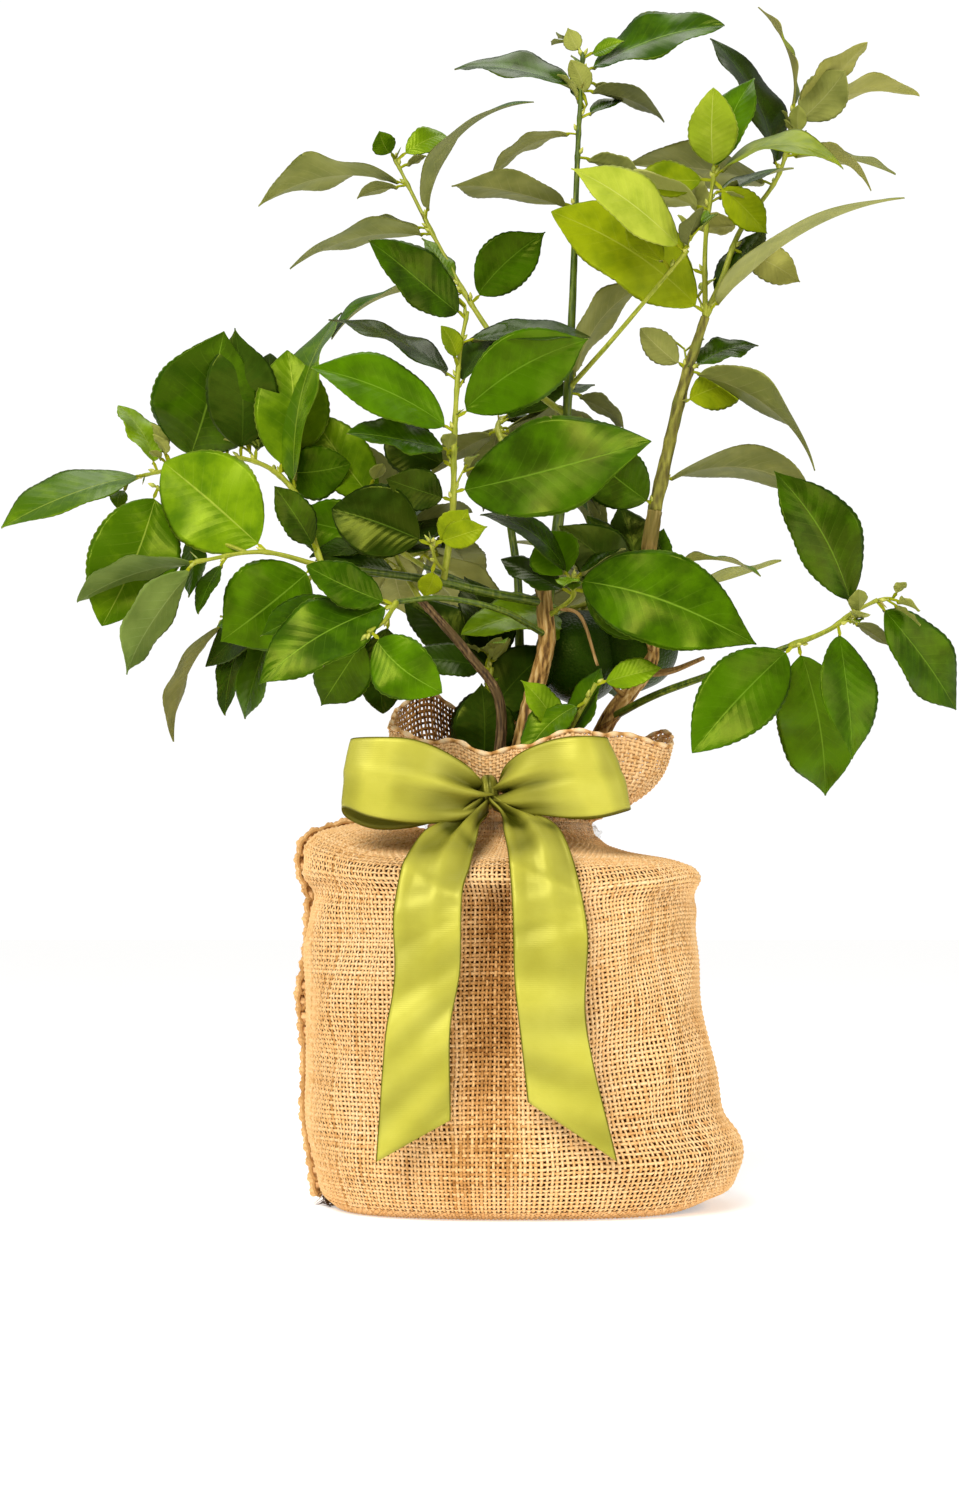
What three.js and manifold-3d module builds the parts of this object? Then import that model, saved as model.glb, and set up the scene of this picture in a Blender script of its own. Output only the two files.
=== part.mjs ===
// Young Persian lime tree in a pot wrapped in a burlap sack, with a satin bow at its neck.
// Millimetres. X to the right, Y away from the viewer, Z up, origin under the middle of the sack.
import * as THREE from 'three';
import { mergeVertices } from 'three/addons/utils/BufferGeometryUtils.js';
import Module from 'manifold-3d';

const wasm = await Module();
wasm.setup();

// Driving sizes
const clearance = 0.3;
const smallOverlap = 0.004;
const neckHeight = 206;
const neckRadius = 44;
const soilRadius = 40.6;
const soilDepth = 8;
const soilTop = neckHeight + clearance + soilDepth;
const stemFoot = soilTop + clearance;
const clothThickness = 2.4;
const ribbonWidth = 39;
const cuppedWidth = 36;
const ribbonThickness = 1;

const up = new THREE.Vector3(0, 0, 1);
const viewpoint = new THREE.Vector3(-17, -1500, 165);
const fullTurn = Math.PI * 2;
const goldenAngle = Math.PI * (3 - Math.sqrt(5));

// Colours of the real surfaces
const finishes = {
  jute: { color: 0xd9ae72, roughness: 0.95, metalness: 0 },
  hem: { color: 0xcf9c5c, roughness: 0.95, metalness: 0 },
  soil: { color: 0x3a2a1c, roughness: 1, metalness: 0 },
  strap: { color: 0xd8dcd2, roughness: 0.25, metalness: 0 },
  satin: { color: 0xc3b848, roughness: 0.35, metalness: 0 },
  bark: { color: 0x8a6231, roughness: 0.9, metalness: 0 },
  greenBark: { color: 0x6d7a33, roughness: 0.7, metalness: 0 },
  deadWood: { color: 0xb08052, roughness: 0.9, metalness: 0 },
  matureLeaf: { color: 0x4b6f14, roughness: 0.35, metalness: 0 },
  youngLeaf: { color: 0x9aa51d, roughness: 0.4, metalness: 0 },
};

const tree = new THREE.Group();
tree.name = 'potted_persian_lime_tree';

// A small seeded generator, so that every build grows the same tree.
function seededRandom(seed) {
  let state = seed >>> 0;
  return () => {
    state = (state + 0x6d2b79f5) >>> 0;
    let t = Math.imul(state ^ (state >>> 15), 1 | state);
    t = (t + Math.imul(t ^ (t >>> 7), 61 | t)) ^ t;
    return ((t ^ (t >>> 14)) >>> 0) / 4294967296;
  };
}

const mix = (a, b, t) => a + (b - a) * t;
const between = (random, low, high) => mix(low, high, random());
const vector = ([x, y, z]) => new THREE.Vector3(x, y, z);
const curveThrough = (points) => new THREE.CatmullRomCurve3(points.map(vector));

// Closed surface through rings of points. A ring of one point is a tip, and looped rings close on themselves.
function skin(rings, looped = false) {
  const positions = [];
  const indices = [];
  const starts = rings.map((ring) => {
    const start = positions.length / 3;
    ring.forEach((point) => positions.push(point.x, point.y, point.z));
    return start;
  });
  const bands = looped ? rings.length : rings.length - 1;
  for (let i = 0; i < bands; i++) {
    const j = (i + 1) % rings.length;
    const sides = Math.max(rings[i].length, rings[j].length);
    for (let k = 0; k < sides; k++) {
      const next = (k + 1) % sides;
      const a = starts[i] + (rings[i].length > 1 ? k : 0);
      const b = starts[i] + (rings[i].length > 1 ? next : 0);
      const c = starts[j] + (rings[j].length > 1 ? k : 0);
      const d = starts[j] + (rings[j].length > 1 ? next : 0);
      if (a !== b) indices.push(a, b, c);
      if (c !== d) indices.push(b, d, c);
    }
  }
  if (!looped) {
    const last = rings.length - 1;
    for (let k = 1; k < rings[0].length - 1; k++) indices.push(starts[0], starts[0] + k + 1, starts[0] + k);
    for (let k = 1; k < rings[last].length - 1; k++) {
      indices.push(starts[last], starts[last] + k, starts[last] + k + 1);
    }
  }
  const geometry = new THREE.BufferGeometry();
  geometry.setAttribute('position', new THREE.Float32BufferAttribute(positions, 3));
  geometry.setIndex(indices);
  return geometry;
}

function solidFrom(geometry) {
  const bare = geometry.clone();
  bare.deleteAttribute('normal');
  bare.deleteAttribute('uv');
  const merged = mergeVertices(bare, 1e-3);
  const mesh = new wasm.Mesh({
    numProp: 3,
    vertProperties: new Float32Array(merged.attributes.position.array),
    triVerts: new Uint32Array(merged.index.array),
  });
  const solid = new wasm.Manifold(mesh);
  if (solid.volume() > 0) return solid;
  for (let i = 0; i < mesh.triVerts.length; i += 3) {
    const swap = mesh.triVerts[i];
    mesh.triVerts[i] = mesh.triVerts[i + 1];
    mesh.triVerts[i + 1] = swap;
  }
  return new wasm.Manifold(mesh);
}

function geometryFrom(solid) {
  const mesh = solid.getMesh();
  const geometry = new THREE.BufferGeometry();
  geometry.setAttribute('position', new THREE.Float32BufferAttribute(mesh.vertProperties, 3));
  geometry.setIndex(new THREE.Uint32BufferAttribute(mesh.triVerts, 1));
  geometry.computeVertexNormals();
  return geometry;
}

// One solid out of several, with the record of where its faces came from cleared.
const join = (solids) => wasm.Manifold.union(solids).asOriginal();

function overlaps(a, b) {
  const shared = a.intersect(b);
  const volume = shared.volume();
  shared.delete();
  return volume > smallOverlap;
}

// The largest body of a solid, without loose scraps.
function mainBody(solid) {
  const bodies = solid.decompose();
  const best = bodies.reduce((most, body) => (body.volume() > most.volume() ? body : most));
  bodies.filter((body) => body !== best).forEach((body) => body.delete());
  return best.asOriginal();
}

// Every solid that is in the tree already, so that later ones can keep clear of it.
const placed = [];

function addPart(name, solid, finish) {
  const material = new THREE.MeshStandardMaterial(finishes[finish]);
  const mesh = new THREE.Mesh(geometryFrom(solid), material);
  mesh.name = name;
  tree.add(mesh);
  placed.push(solid);
}

// Round tapering tube along a curve, grown outwards by a margin where a halo is needed.
function taperedTube(curve, radiusAt, sides, rings, margin = 0, flatFoot = false) {
  const frames = curve.computeFrenetFrames(rings, false);
  const loops = [];
  for (let i = 0; i <= rings; i++) {
    const along = i / rings;
    const centre = curve.getPointAt(along);
    if (i === 0) centre.addScaledVector(frames.tangents[i], -margin);
    if (i === rings) centre.addScaledVector(frames.tangents[i], margin);
    const radius = radiusAt(along) + margin;
    const loop = [];
    for (let k = 0; k < sides; k++) {
      const angle = (k / sides) * fullTurn;
      const point = centre.clone();
      point.addScaledVector(frames.normals[i], Math.cos(angle) * radius);
      point.addScaledVector(frames.binormals[i], Math.sin(angle) * radius);
      if (flatFoot && i === 0) point.z = centre.z;
      loop.push(point);
    }
    loops.push(loop);
  }
  return solidFrom(skin(loops));
}

// Sack: plan outlines from the underside to the tied neck, each with its reach left, right and in depth,
// and how far its left corner is drawn up.
const sackSections = [
  { height: 0, left: 94, right: 104, depth: 68, lift: 0 },
  { height: 5, left: 101, right: 117, depth: 82, lift: 0 },
  { height: 28, left: 106, right: 127, depth: 98, lift: 0 },
  { height: 54, left: 108, right: 112, depth: 100, lift: 0 },
  { height: 105, left: 110, right: 104, depth: 100, lift: 0 },
  { height: 150, left: 106, right: 99, depth: 99, lift: 0 },
  { height: 172, left: 106, right: 101, depth: 95, lift: 4 },
  { height: 182, left: 105, right: 99, depth: 88, lift: 8 },
  { height: 186, left: 92, right: 82, depth: 76, lift: 11 },
  { height: 189, left: 72, right: 60, depth: 60, lift: 12 },
  { height: 193, left: 52, right: 50, depth: 50, lift: 8 },
  { height: 199, left: neckRadius, right: neckRadius, depth: neckRadius, lift: 0 },
  { height: neckHeight, left: neckRadius, right: neckRadius, depth: neckRadius, lift: 0 },
];
const sackSides = 32;
const sackSquareness = 2.35;
// How narrowly the lift of a section gathers at the left corner, under the side seam.
const liftGather = 6;

function sackOutline(section, margin = 0) {
  const loop = [];
  const round = section.left === neckRadius ? 2 : sackSquareness;
  for (let k = 0; k < sackSides; k++) {
    const angle = (k / sackSides) * fullTurn;
    const c = Math.cos(angle);
    const s = Math.sin(angle);
    const reach = (c > 0 ? section.right : section.left) + margin;
    const depth = section.depth + margin;
    const shrink = (Math.abs(c) ** round + Math.abs(s) ** round) ** (-1 / round);
    const lift = section.lift * Math.max(0, -c) ** liftGather;
    loop.push(new THREE.Vector3(reach * c * shrink, depth * s * shrink, section.height + lift));
  }
  return loop;
}

function sackSolid(margin = 0) {
  const loops = sackSections.map((section) => sackOutline(section, margin));
  const last = loops.length - 1;
  if (margin > 0) {
    loops[0].forEach((point) => { point.z -= margin; });
    loops[last].forEach((point) => { point.z += margin; });
  }
  return solidFrom(skin(loops));
}

addPart('burlap_sack', sackSolid(), 'jute');

// Soil at the neck, which the stems stand on.
const soilFootRadius = soilRadius - 0.6;
const roundSides = 32;
const soilGeometry = new THREE.CylinderGeometry(soilRadius, soilFootRadius, soilDepth, roundSides);
soilGeometry.rotateX(Math.PI / 2);
soilGeometry.translate(0, 0, neckHeight + clearance + soilDepth / 2);
addPart('potting_soil', solidFrom(soilGeometry), 'soil');

// Collar: the open top of the sack above the tie. Rim reach and height by compass, from right, anticlockwise.
const collarRim = [
  { reach: 84, height: 247 },
  { reach: 66, height: 254 },
  { reach: 50, height: 268 },
  { reach: 62, height: 279 },
  { reach: 68, height: 256 },
  { reach: 56, height: 246 },
  { reach: 46, height: 244 },
  { reach: 62, height: 250 },
];
const collarSides = 40;
const collarRows = 4;
const collarBelly = 0.8;
const ruffleCount = 7;
const ruffleDepth = 3.2;

// Smooth value round the compass, from a short list of directions.
function roundCompass(list, key, angle) {
  const place = (angle / fullTurn) * list.length;
  const i = Math.floor(place) % list.length;
  const next = (i + 1) % list.length;
  const t = place - Math.floor(place);
  return mix(list[i][key], list[next][key], t * t * (3 - 2 * t));
}

function collarLoop(row, inset) {
  const t = row / collarRows;
  const loop = [];
  for (let k = 0; k < collarSides; k++) {
    const angle = (k / collarSides) * fullTurn;
    const flare = t ** collarBelly;
    const ruffle = ruffleDepth * t * Math.cos(ruffleCount * angle);
    const reach = mix(neckRadius, roundCompass(collarRim, 'reach', angle), flare) + ruffle - inset;
    const height = mix(neckHeight + clearance, roundCompass(collarRim, 'height', angle), t);
    loop.push(new THREE.Vector3(Math.cos(angle) * reach, Math.sin(angle) * reach, height));
  }
  return loop;
}

function collarSolid(margin = 0) {
  const loops = [];
  for (let row = 0; row <= collarRows; row++) loops.push(collarLoop(row, -margin));
  for (let row = collarRows; row >= 0; row--) loops.push(collarLoop(row, clothThickness + margin));
  return solidFrom(skin(loops, true));
}

addPart('sack_collar', collarSolid(), 'jute');

// Clear strap that ties the neck.
const strapWidth = 5;
const strapThickness = 1.4;
const strapInside = neckRadius + clearance + 0.1;
const strapOutside = strapInside + strapThickness;
const strapFoot = 200.5;
const strapProfile = [
  new THREE.Vector2(strapInside, strapFoot),
  new THREE.Vector2(strapOutside, strapFoot),
  new THREE.Vector2(strapOutside, strapFoot + strapWidth),
  new THREE.Vector2(strapInside, strapFoot + strapWidth),
  new THREE.Vector2(strapInside, strapFoot),
];
const strapGeometry = new THREE.LatheGeometry(strapProfile, roundSides);
strapGeometry.rotateX(Math.PI / 2);
addPart('neck_strap', solidFrom(strapGeometry), 'strap');

// Rolled hem with the side seam, down the left edge of the sack and over its shoulder.
const hemRoute = [
  [-104, 0, 5], [-108, 0, 28], [-111, 0, 55], [-110.5, 0, 82], [-113.5, 0, 110], [-110, 0, 137],
  [-109, 0, 165], [-114, 0, 184], [-110, 0, 197], [-94, -1, 203], [-76, -2, 206], [-62, -2, 206],
];
const hemHalfWidth = 4.2;
const hemSides = 8;
const hemRings = 26;
const hemTube = taperedTube(curveThrough(hemRoute), () => hemHalfWidth, hemSides, hemRings);
addPart('side_hem', mainBody(hemTube.subtract(sackSolid(clearance))), 'hem');

// Flat ribbon along a route, its width turned about the route by the given directions.
const ribbonRows = 16;

function ribbon(route, widths, leans, cutSlant = 0) {
  const curve = curveThrough(route);
  const widthCurve = curveThrough(widths.map((width, i) => [i, width, 0]));
  const leanCurve = curveThrough(leans);
  const loops = [];
  for (let i = 0; i <= ribbonRows; i++) {
    const t = i / ribbonRows;
    const centre = curve.getPoint(t);
    const tangent = curve.getTangent(t);
    const across = leanCurve.getPoint(t).normalize();
    across.addScaledVector(tangent, -across.dot(tangent)).normalize();
    const normal = tangent.clone().cross(across).normalize();
    const half = widthCurve.getPoint(t).y / 2;
    const slant = i === ribbonRows ? cutSlant : 0;
    loops.push([[-1, -1], [1, -1], [1, 1], [-1, 1]].map(([side, face]) => {
      const point = centre.clone().addScaledVector(across, side * half);
      point.addScaledVector(tangent, side * slant);
      return point.addScaledVector(normal, face * ribbonThickness / 2);
    }));
  }
  return solidFrom(skin(loops));
}

// The knot is drawn up against the front of the collar.
const knotCentre = new THREE.Vector3(-12, -54, 221);
const knotSize = new THREE.Vector3(7, 9, 10);
const knotSides = 10;
const knotRings = 8;
const knotGeometry = new THREE.SphereGeometry(1, knotSides, knotRings);
knotGeometry.scale(knotSize.x, knotSize.y, knotSize.z);
knotGeometry.translate(knotCentre.x, knotCentre.y, knotCentre.z);
const knotSolid = solidFrom(knotGeometry).subtract(collarSolid(clearance));
addPart('ribbon_knot', mainBody(knotSolid), 'satin');

// Each loop starts just clear of the knot's side, turns at its far end and comes back behind.
const loopWidths = [12, 34, ribbonWidth, ribbonWidth, ribbonWidth, 34, 12];
const leftLoopRoute = [
  [-19.2, -57, 221], [-42, -76, 225], [-72, -78, 229], [-88, -68, 228], [-73, -60, 227], [-42, -57, 225],
  [-19.4, -52, 222],
];
const rightLoopRoute = [
  [-4.8, -57, 221], [18, -76, 226], [44, -77, 229], [60, -67, 229], [46, -60, 228], [20, -57, 226],
  [-4.6, -52, 222],
];
const upright = [0, 0, 1];
const leftLoopLeans = [upright, [0.1, 0, 1], upright, upright, upright, upright, upright];
const rightLoopLeans = [upright, [-0.1, 0, 1], upright, upright, upright, upright, upright];
addPart('bow_loop_left', ribbon(leftLoopRoute, loopWidths, leftLoopLeans), 'satin');
addPart('bow_loop_right', ribbon(rightLoopRoute, loopWidths, rightLoopLeans), 'satin');

// Tails fall from the knot over the sack's front shoulder to slanted ends.
const tailWidths = [6, 24, cuppedWidth, cuppedWidth, cuppedWidth, cuppedWidth];
const leftTailRoute = [
  [-15.8, -59.9, 214], [-29, -86, 200], [-41, -105, 178], [-46, -109, 130], [-49, -110, 80], [-54, -110, 40],
];
const rightTailRoute = [
  [-8.2, -59.9, 214], [6, -88, 200], [16, -105, 178], [21, -109, 130], [24, -110, 85], [30, -110, 42],
];
const level = [1, 0, 0];
const leftTailLeans = [level, [1, 0, 0.2], level, level, level, [1, 0, -0.1]];
const rightTailLeans = [level, [1, 0, -0.2], level, level, level, [1, 0, 0.1]];
const tailSlant = 11;
addPart('ribbon_tail_left', ribbon(leftTailRoute, tailWidths, leftTailLeans, -tailSlant), 'satin');
addPart('ribbon_tail_right', ribbon(rightTailRoute, tailWidths, rightTailLeans, tailSlant), 'satin');

// Stems and boughs: route, radius at foot and tip, and the flare of a stem at the soil.
const limbs = {
  main_trunk: {
    route: [[1, 7, stemFoot], [11, 4, 268], [20, 1, 304], [19, 0, 322], [18, 0, 337]],
    radii: [5.8, 4.1], flare: 3.4, finish: 'bark',
  },
  left_stem: {
    route: [[-9, -9, stemFoot], [-6, -8, 272], [-22, -12, 296], [-49, -22, 326]],
    radii: [3, 2], flare: 1.4, finish: 'bark',
  },
  right_stem: {
    route: [[34, 12, stemFoot], [54, 12, 262], [77, 12, 296], [74, 12, 326], [77, 12, 359], [80, 12, 378]],
    radii: [4.8, 3.9], flare: 1.8, finish: 'bark',
  },
  back_stem: {
    route: [[10, 27, stemFoot], [6, 42, 300], [5, 52, 345], [0, 60, 385], [-3, 66, 423]],
    radii: [3, 1.9], flare: 1, finish: 'greenBark',
  },
  leader_bough: {
    route: [[19, 1, 316], [24, 10, 350], [29, 14, 392], [31, 14, 418]],
    radii: [3.4, 2.8], on: 'main_trunk', finish: 'greenBark',
  },
  left_bough: {
    route: [[19, 0, 326], [-11, -12, 330], [-38, -22, 335], [-76, -34, 339], [-100, -40, 341]],
    radii: [2.7, 1.9], on: 'main_trunk', finish: 'greenBark',
  },
  left_low_bough: {
    route: [[20, 0, 308], [-6, -30, 319], [-37, -50, 323], [-60, -60, 320]],
    radii: [1.8, 1.4], on: 'main_trunk', finish: 'greenBark',
  },
  right_low_bough: {
    route: [[56, 12, 264], [78, -20, 274], [106, -46, 283], [145, -66, 296]],
    radii: [2.2, 1.6], on: 'right_stem', finish: 'greenBark',
  },
  back_left_bough: {
    route: [[6, 47, 322], [-22, 60, 342], [-48, 70, 354]],
    radii: [2, 1.5], on: 'back_stem', finish: 'greenBark',
  },
  back_right_bough: {
    route: [[76, 12, 314], [73, 38, 332], [70, 62, 346]],
    radii: [2.1, 1.6], on: 'right_stem', finish: 'greenBark',
  },
  thorny_twig: {
    route: [[74, 12, 288], [88, 4, 289], [105, -8, 295]],
    radii: [1.7, 0.9], on: 'right_stem', finish: 'deadWood',
  },
};
const limbSides = 8;
// How quickly a stem's flare dies away over its length.
const flareFade = 9;

function limbSolid(name, margin = 0) {
  const limb = limbs[name];
  const rings = 2 * limb.route.length;
  const flare = limb.flare ?? 0;
  const radiusAt = (t) => mix(limb.radii[0], limb.radii[1], t) + flare * Math.exp(-t * flareFade);
  return taperedTube(curveThrough(limb.route), radiusAt, limbSides, rings, margin, limb.flare > 0);
}

const limbHalos = [];
for (const [name, limb] of Object.entries(limbs)) {
  let solid = limbSolid(name);
  if (limb.on) solid = mainBody(solid.subtract(limbSolid(limb.on, clearance)));
  limbHalos.push(limbSolid(name, clearance));
  addPart(name, solid, limb.finish);
}

// Foliage masses. A shoot's route starts at a bough's tip, or, with from, at that share of the mass's stem.
// A leaf that shows is [share of the shoot, clock heading seen from the front, seen length, facing]:
// facing 1 shows its whole top side, 0 its edge, a negative value its underside, and above 1 a wider blade.
// A fifth number is the angle, in radians, that a strongly arching leaf bends through.
// A shoot with no leaves is a bare dry twig.
// Shoots deeper in the crown carry spiral leaves by the golden angle, with tips inside the mass's space.
const masses = {
  leader_mass: {
    finish: 'matureLeaf', seed: 11,
    shoots: [
      {
        route: [[31, 14, 418], [35, 14, 496], [38, 12, 580], [41, 10, 634]], radii: [2.7, 1],
        leaves: [
          [0.12, 4, 37, -0.6, 1.3], [0.14, 1.15, 70, -0.5, 0.5], [0.6, 9.45, 69, -0.4],
          [0.79, 8.2, 55, -0.35, 1.2], [0.73, 3.8, 43, -0.5, 0.8], [0.83, 2.3, 28, 0.5],
          [0.9, 3.65, 49, -0.45, 1], [0.905, 9.4, 73, 0.35], [0.95, 2.35, 81, 0.5, 0.15],
          [0.99, 11.1, 18, -1.2], [0.99, 2.2, 24, 0.7],
        ],
      },
      {
        from: 0.13, route: [[56, -4, 470], [96, -24, 515]], radii: [1.5, 1],
        leaves: [[1, 10.3, 74, 0.7], [0.86, 10.8, 38, 0.8], [0.96, 0.7, 28, -0.7]],
      },
    ],
  },
  upper_left_mass: {
    finish: 'matureLeaf', seed: 23,
    shoots: [
      {
        route: [[31, 14, 432], [13, 22, 448], [-22, 42, 501], [-44, 58, 545], [-66, 72, 592]],
        radii: [1.9, 0.9],
        leaves: [
          [0.46, 1.55, 57, 1.15], [0.52, 10.8, 36, 0.45], [0.72, 8.6, 83, -0.35, 0.6],
          [0.74, 9.15, 43, -0.3], [0.77, 1.3, 88, -0.1, 1.25], [0.9, 8.8, 88, -0.3, 0.9],
          [0.96, 2.1, 17, -0.6], [1, 2.1, 33, 0.9, 1.4], [0.5, 8.45, 78, -0.1, 1.1],
          [0.9, 8.6, 30, -0.4], [1, 11, 19, 1.4],
        ],
      },
    ],
  },
  centre_left_mass: {
    finish: 'matureLeaf', seed: 31,
    shoots: [
      {
        route: [[-36, -21, 335], [-31, -34, 370], [-30, -36, 411], [-27, -34, 458], [-23, -30, 480]],
        radii: [2, 1],
        leaves: [
          [0.33, 2.5, 105, 0.95], [0.42, 10.1, 45, 1.2], [0.55, 9.8, 82, 0.75], [0.6, 1.98, 84, 1],
          [0.48, 9.4, 56, 0.6], [0.74, 9.9, 77, 0.35, 0.3], [0.78, 11.3, 24, 0.9],
          [0.88, 2.85, 71, 0.3, 0.5], [0.97, 10.35, 64, 0.85], [0.7, 1.2, 46, 0.6], [0.3, 9.6, 36, 1.2],
        ],
      },
      {
        from: 0.04, route: [[-40, -40, 344], [-42, -48, 352]], radii: [1.1, 0.8],
        leaves: [[0.9, 1.4, 27, 1.5], [0.6, 6.6, 20, 1.2], [1, 2.4, 30, 1], [1, 9.65, 57, 1.5]],
      },
    ],
  },
  right_middle_mass: {
    finish: 'matureLeaf', seed: 41,
    shoots: [
      {
        route: [[80, 12, 378], [84, 12, 396], [95, 10, 444], [108, 8, 485]], radii: [3.8, 2.6],
        leaves: [
          [0.02, 10.3, 56, 1.2], [0.15, 3.18, 89, -0.35, 1.05], [0.72, 4.26, 87, -0.4, 1.1],
          [0.72, 2.3, 42, 0.6], [0.72, 10.4, 35, -1], [0.55, 2.35, 42, 1.1, 0.3],
        ],
      },
    ],
  },
  young_mass: {
    finish: 'youngLeaf', seed: 53,
    shoots: [
      {
        route: [[108, 8, 485], [108, 4, 527], [112, -6, 562]], radii: [1.6, 0.9],
        leaves: [
          [0.95, 9.1, 44, 0.9], [0.6, 11.6, 34, -0.7], [0.75, 9.4, 66, -0.5], [0.95, 4.5, 42, 1],
          [0.97, 2.8, 69, 0.35, 1.3], [0.97, 0.7, 59, 0.8], [1, 12, 45, 1.2], [0.8, 2.2, 50, 0.3],
          [0.03, 10.15, 100, 0.9], [0.3, 9.8, 40, 1],
        ],
      },
    ],
  },
  upper_right_mass: {
    finish: 'youngLeaf', seed: 61,
    shoots: [
      {
        route: [[108, 8, 485], [118, 14, 508], [128, 22, 535], [152, 34, 572], [162, 44, 610]],
        radii: [1.9, 0.9],
        leaves: [
          [0.03, 1.92, 119, -0.15, 0.5], [0.06, 1.2, 52, 0.6], [0.32, 3.9, 42, -1], [0.72, 11.2, 86, 0.35],
          [0.8, 3.7, 52, -0.4, 1.2], [0.8, 3.35, 64, -0.1, 0.6], [0.93, 1.5, 43, -1.2],
          [0.97, 2.7, 73, -0.3, 0.9], [0.99, 1.55, 56, -0.4], [1, 11.45, 64, -0.1, 1],
          [0.66, 9.3, 87, -0.5, 0.6], [0.45, 8.9, 30, -0.8],
        ],
      },
    ],
  },
  trunk_top_mass: {
    finish: 'matureLeaf', seed: 71,
    shoots: [
      {
        route: [[20, 0, 318], [34, -18, 328], [33, -26, 336]], radii: [1.5, 1],
        leaves: [
          [0.8, 3.3, 62, 1.2], [0.9, 11.1, 32, 1.8], [1, 3.65, 101, 1, 0.8], [0.7, 9.9, 44, 0.7],
          [0.95, 10.3, 60, 0.5, 0.8], [0.97, 1.85, 34, 0.35],
        ],
      },
      { from: 0.3, route: [[37, -16, 318], [47, -18, 290]], radii: [1.1, 0.8], leaves: [] },
    ],
  },
  right_low_mass: {
    finish: 'matureLeaf', seed: 83,
    shoots: [
      {
        route: [[145, -66, 296], [165, -78, 304], [176, -84, 312], [188, -88, 318]], radii: [1.6, 0.9],
        leaves: [
          [0.05, 7.45, 75, 1.1], [0.1, 5.68, 84, 1], [0.55, 5.75, 68, 0.75], [0.65, 4.1, 26, -0.5],
          [0.75, 11.07, 82, 0.9], [1, 4.8, 71, 0.8],
        ],
      },
    ],
  },
  left_upper_mass: {
    finish: 'matureLeaf', seed: 97,
    shoots: [
      {
        route: [[-100, -40, 341], [-118, -18, 386], [-150, 16, 408], [-206, 40, 402]], radii: [1.8, 0.9],
        leaves: [
          [0.05, 10.9, 42, 0.9], [0.3, 0.45, 103, 0.35, 0.8], [0.44, 2.8, 41, 1.5], [0.4, 0.1, 70, 1.2],
          [0.62, 11.9, 70, 1.2], [0.68, 0.2, 54, 1], [0.83, 0.5, 73, 1.6], [0.94, 11, 44, 0.7],
          [1, 8.3, 84, 0.45, 0.6], [0.55, 0.2, 62, 0.9],
        ],
      },
    ],
  },
  left_tip_mass: {
    finish: 'matureLeaf', seed: 101,
    shoots: [
      {
        route: [[-100, -40, 341], [-131, -54, 347], [-165, -68, 340]], radii: [1.5, 0.9],
        leaves: [
          [0.05, 7.7, 64, 1.6], [0.44, 10.35, 74, 1.45], [0.75, 6.9, 34, 0.6], [0.95, 8.4, 69, -0.35, 0.6],
          [1, 7.12, 69, -0.65, 0.9],
        ],
      },
      {
        from: 0.6, route: [[-170, -38, 362], [-190, -26, 386]], radii: [1.1, 0.8],
        leaves: [[1, 6.72, 79, 1.25], [0.6, 5.9, 40, 0.7]],
      },
    ],
  },
  left_drop_mass: {
    finish: 'matureLeaf', seed: 113,
    shoots: [
      {
        route: [[-100, -40, 341], [-122, -20, 326], [-156, -2, 317]], radii: [1.4, 0.9],
        leaves: [[0.1, 7.65, 78, 0.65], [0.5, 6.6, 68, 0.55], [0.75, 6.5, 58, 0.35], [1, 6.8, 74, -0.3, 0.7]],
      },
    ],
  },
  left_hanging_mass: {
    finish: 'matureLeaf', seed: 127,
    shoots: [
      {
        route: [[-60, -60, 320], [-66, -70, 309], [-74, -78, 302]], radii: [1.3, 0.9],
        leaves: [
          [0.1, 9.8, 50, 0.9], [0.4, 6.1, 52, 1], [0.95, 4.35, 47, 1.35], [1, 7.1, 46, 1.25],
          [0.05, 8.05, 80, 0.8],
        ],
      },
      {
        from: 0.1, route: [[-84, -50, 324], [-104, -44, 322]], radii: [1.1, 0.8],
        leaves: [[0.6, 8.2, 50, 0.8], [1, 8.6, 56, 0.7]],
      },
    ],
  },
  left_stem_mass: {
    finish: 'matureLeaf', seed: 131,
    shoots: [
      {
        route: [[-49, -22, 326], [-62, -14, 350], [-70, -6, 376]], radii: [1.7, 0.9],
        leaves: [[0.3, 9.3, 48, 0.6], [0.6, 9.5, 58, 1.2], [0.7, 8.6, 44, 0.5], [1, 10.8, 66, 1]],
      },
    ],
  },
  fruiting_mass: {
    finish: 'matureLeaf', seed: 139,
    shoots: [
      {
        route: [[76, 12, 322], [66, 30, 330], [48, 34, 330], [34, 32, 326]], radii: [1.8, 1.3],
        leaves: [
          [0.4, 11.2, 52, 0.8], [0.6, 6.8, 60, 0.8], [0.8, 5.4, 58, 0.6], [1, 8.6, 62, 0.7],
          [0.1, 10.5, 64, 0.9], [0.12, 0.5, 46, 0.9], [0.15, 11.6, 60, 1],
        ],
        limes: [[0.98, 50, 4], [0.42, 46, 6]],
      },
      {
        from: 0.3, route: [[84, 28, 340], [90, 22, 350]], radii: [1.2, 0.8],
        leaves: [[1, 3.25, 49, -0.12, 1], [0.4, 2.5, 74, -0.15, -0.4]],
      },
    ],
  },
  collar_mass: {
    finish: 'youngLeaf', seed: 149,
    shoots: [
      {
        route: [[20, -12, stemFoot], [30, -20, 250], [46, -24, 280]], radii: [1.8, 1],
        leaves: [[0.5, 10.9, 40, 0.8], [0.85, 7.6, 46, 0.8], [1, 2.5, 36, 0.8], [0.4, 0.8, 52, 0.7]],
      },
    ],
  },
  inner_mass: {
    finish: 'matureLeaf', seed: 151,
    shoots: [
      {
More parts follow.
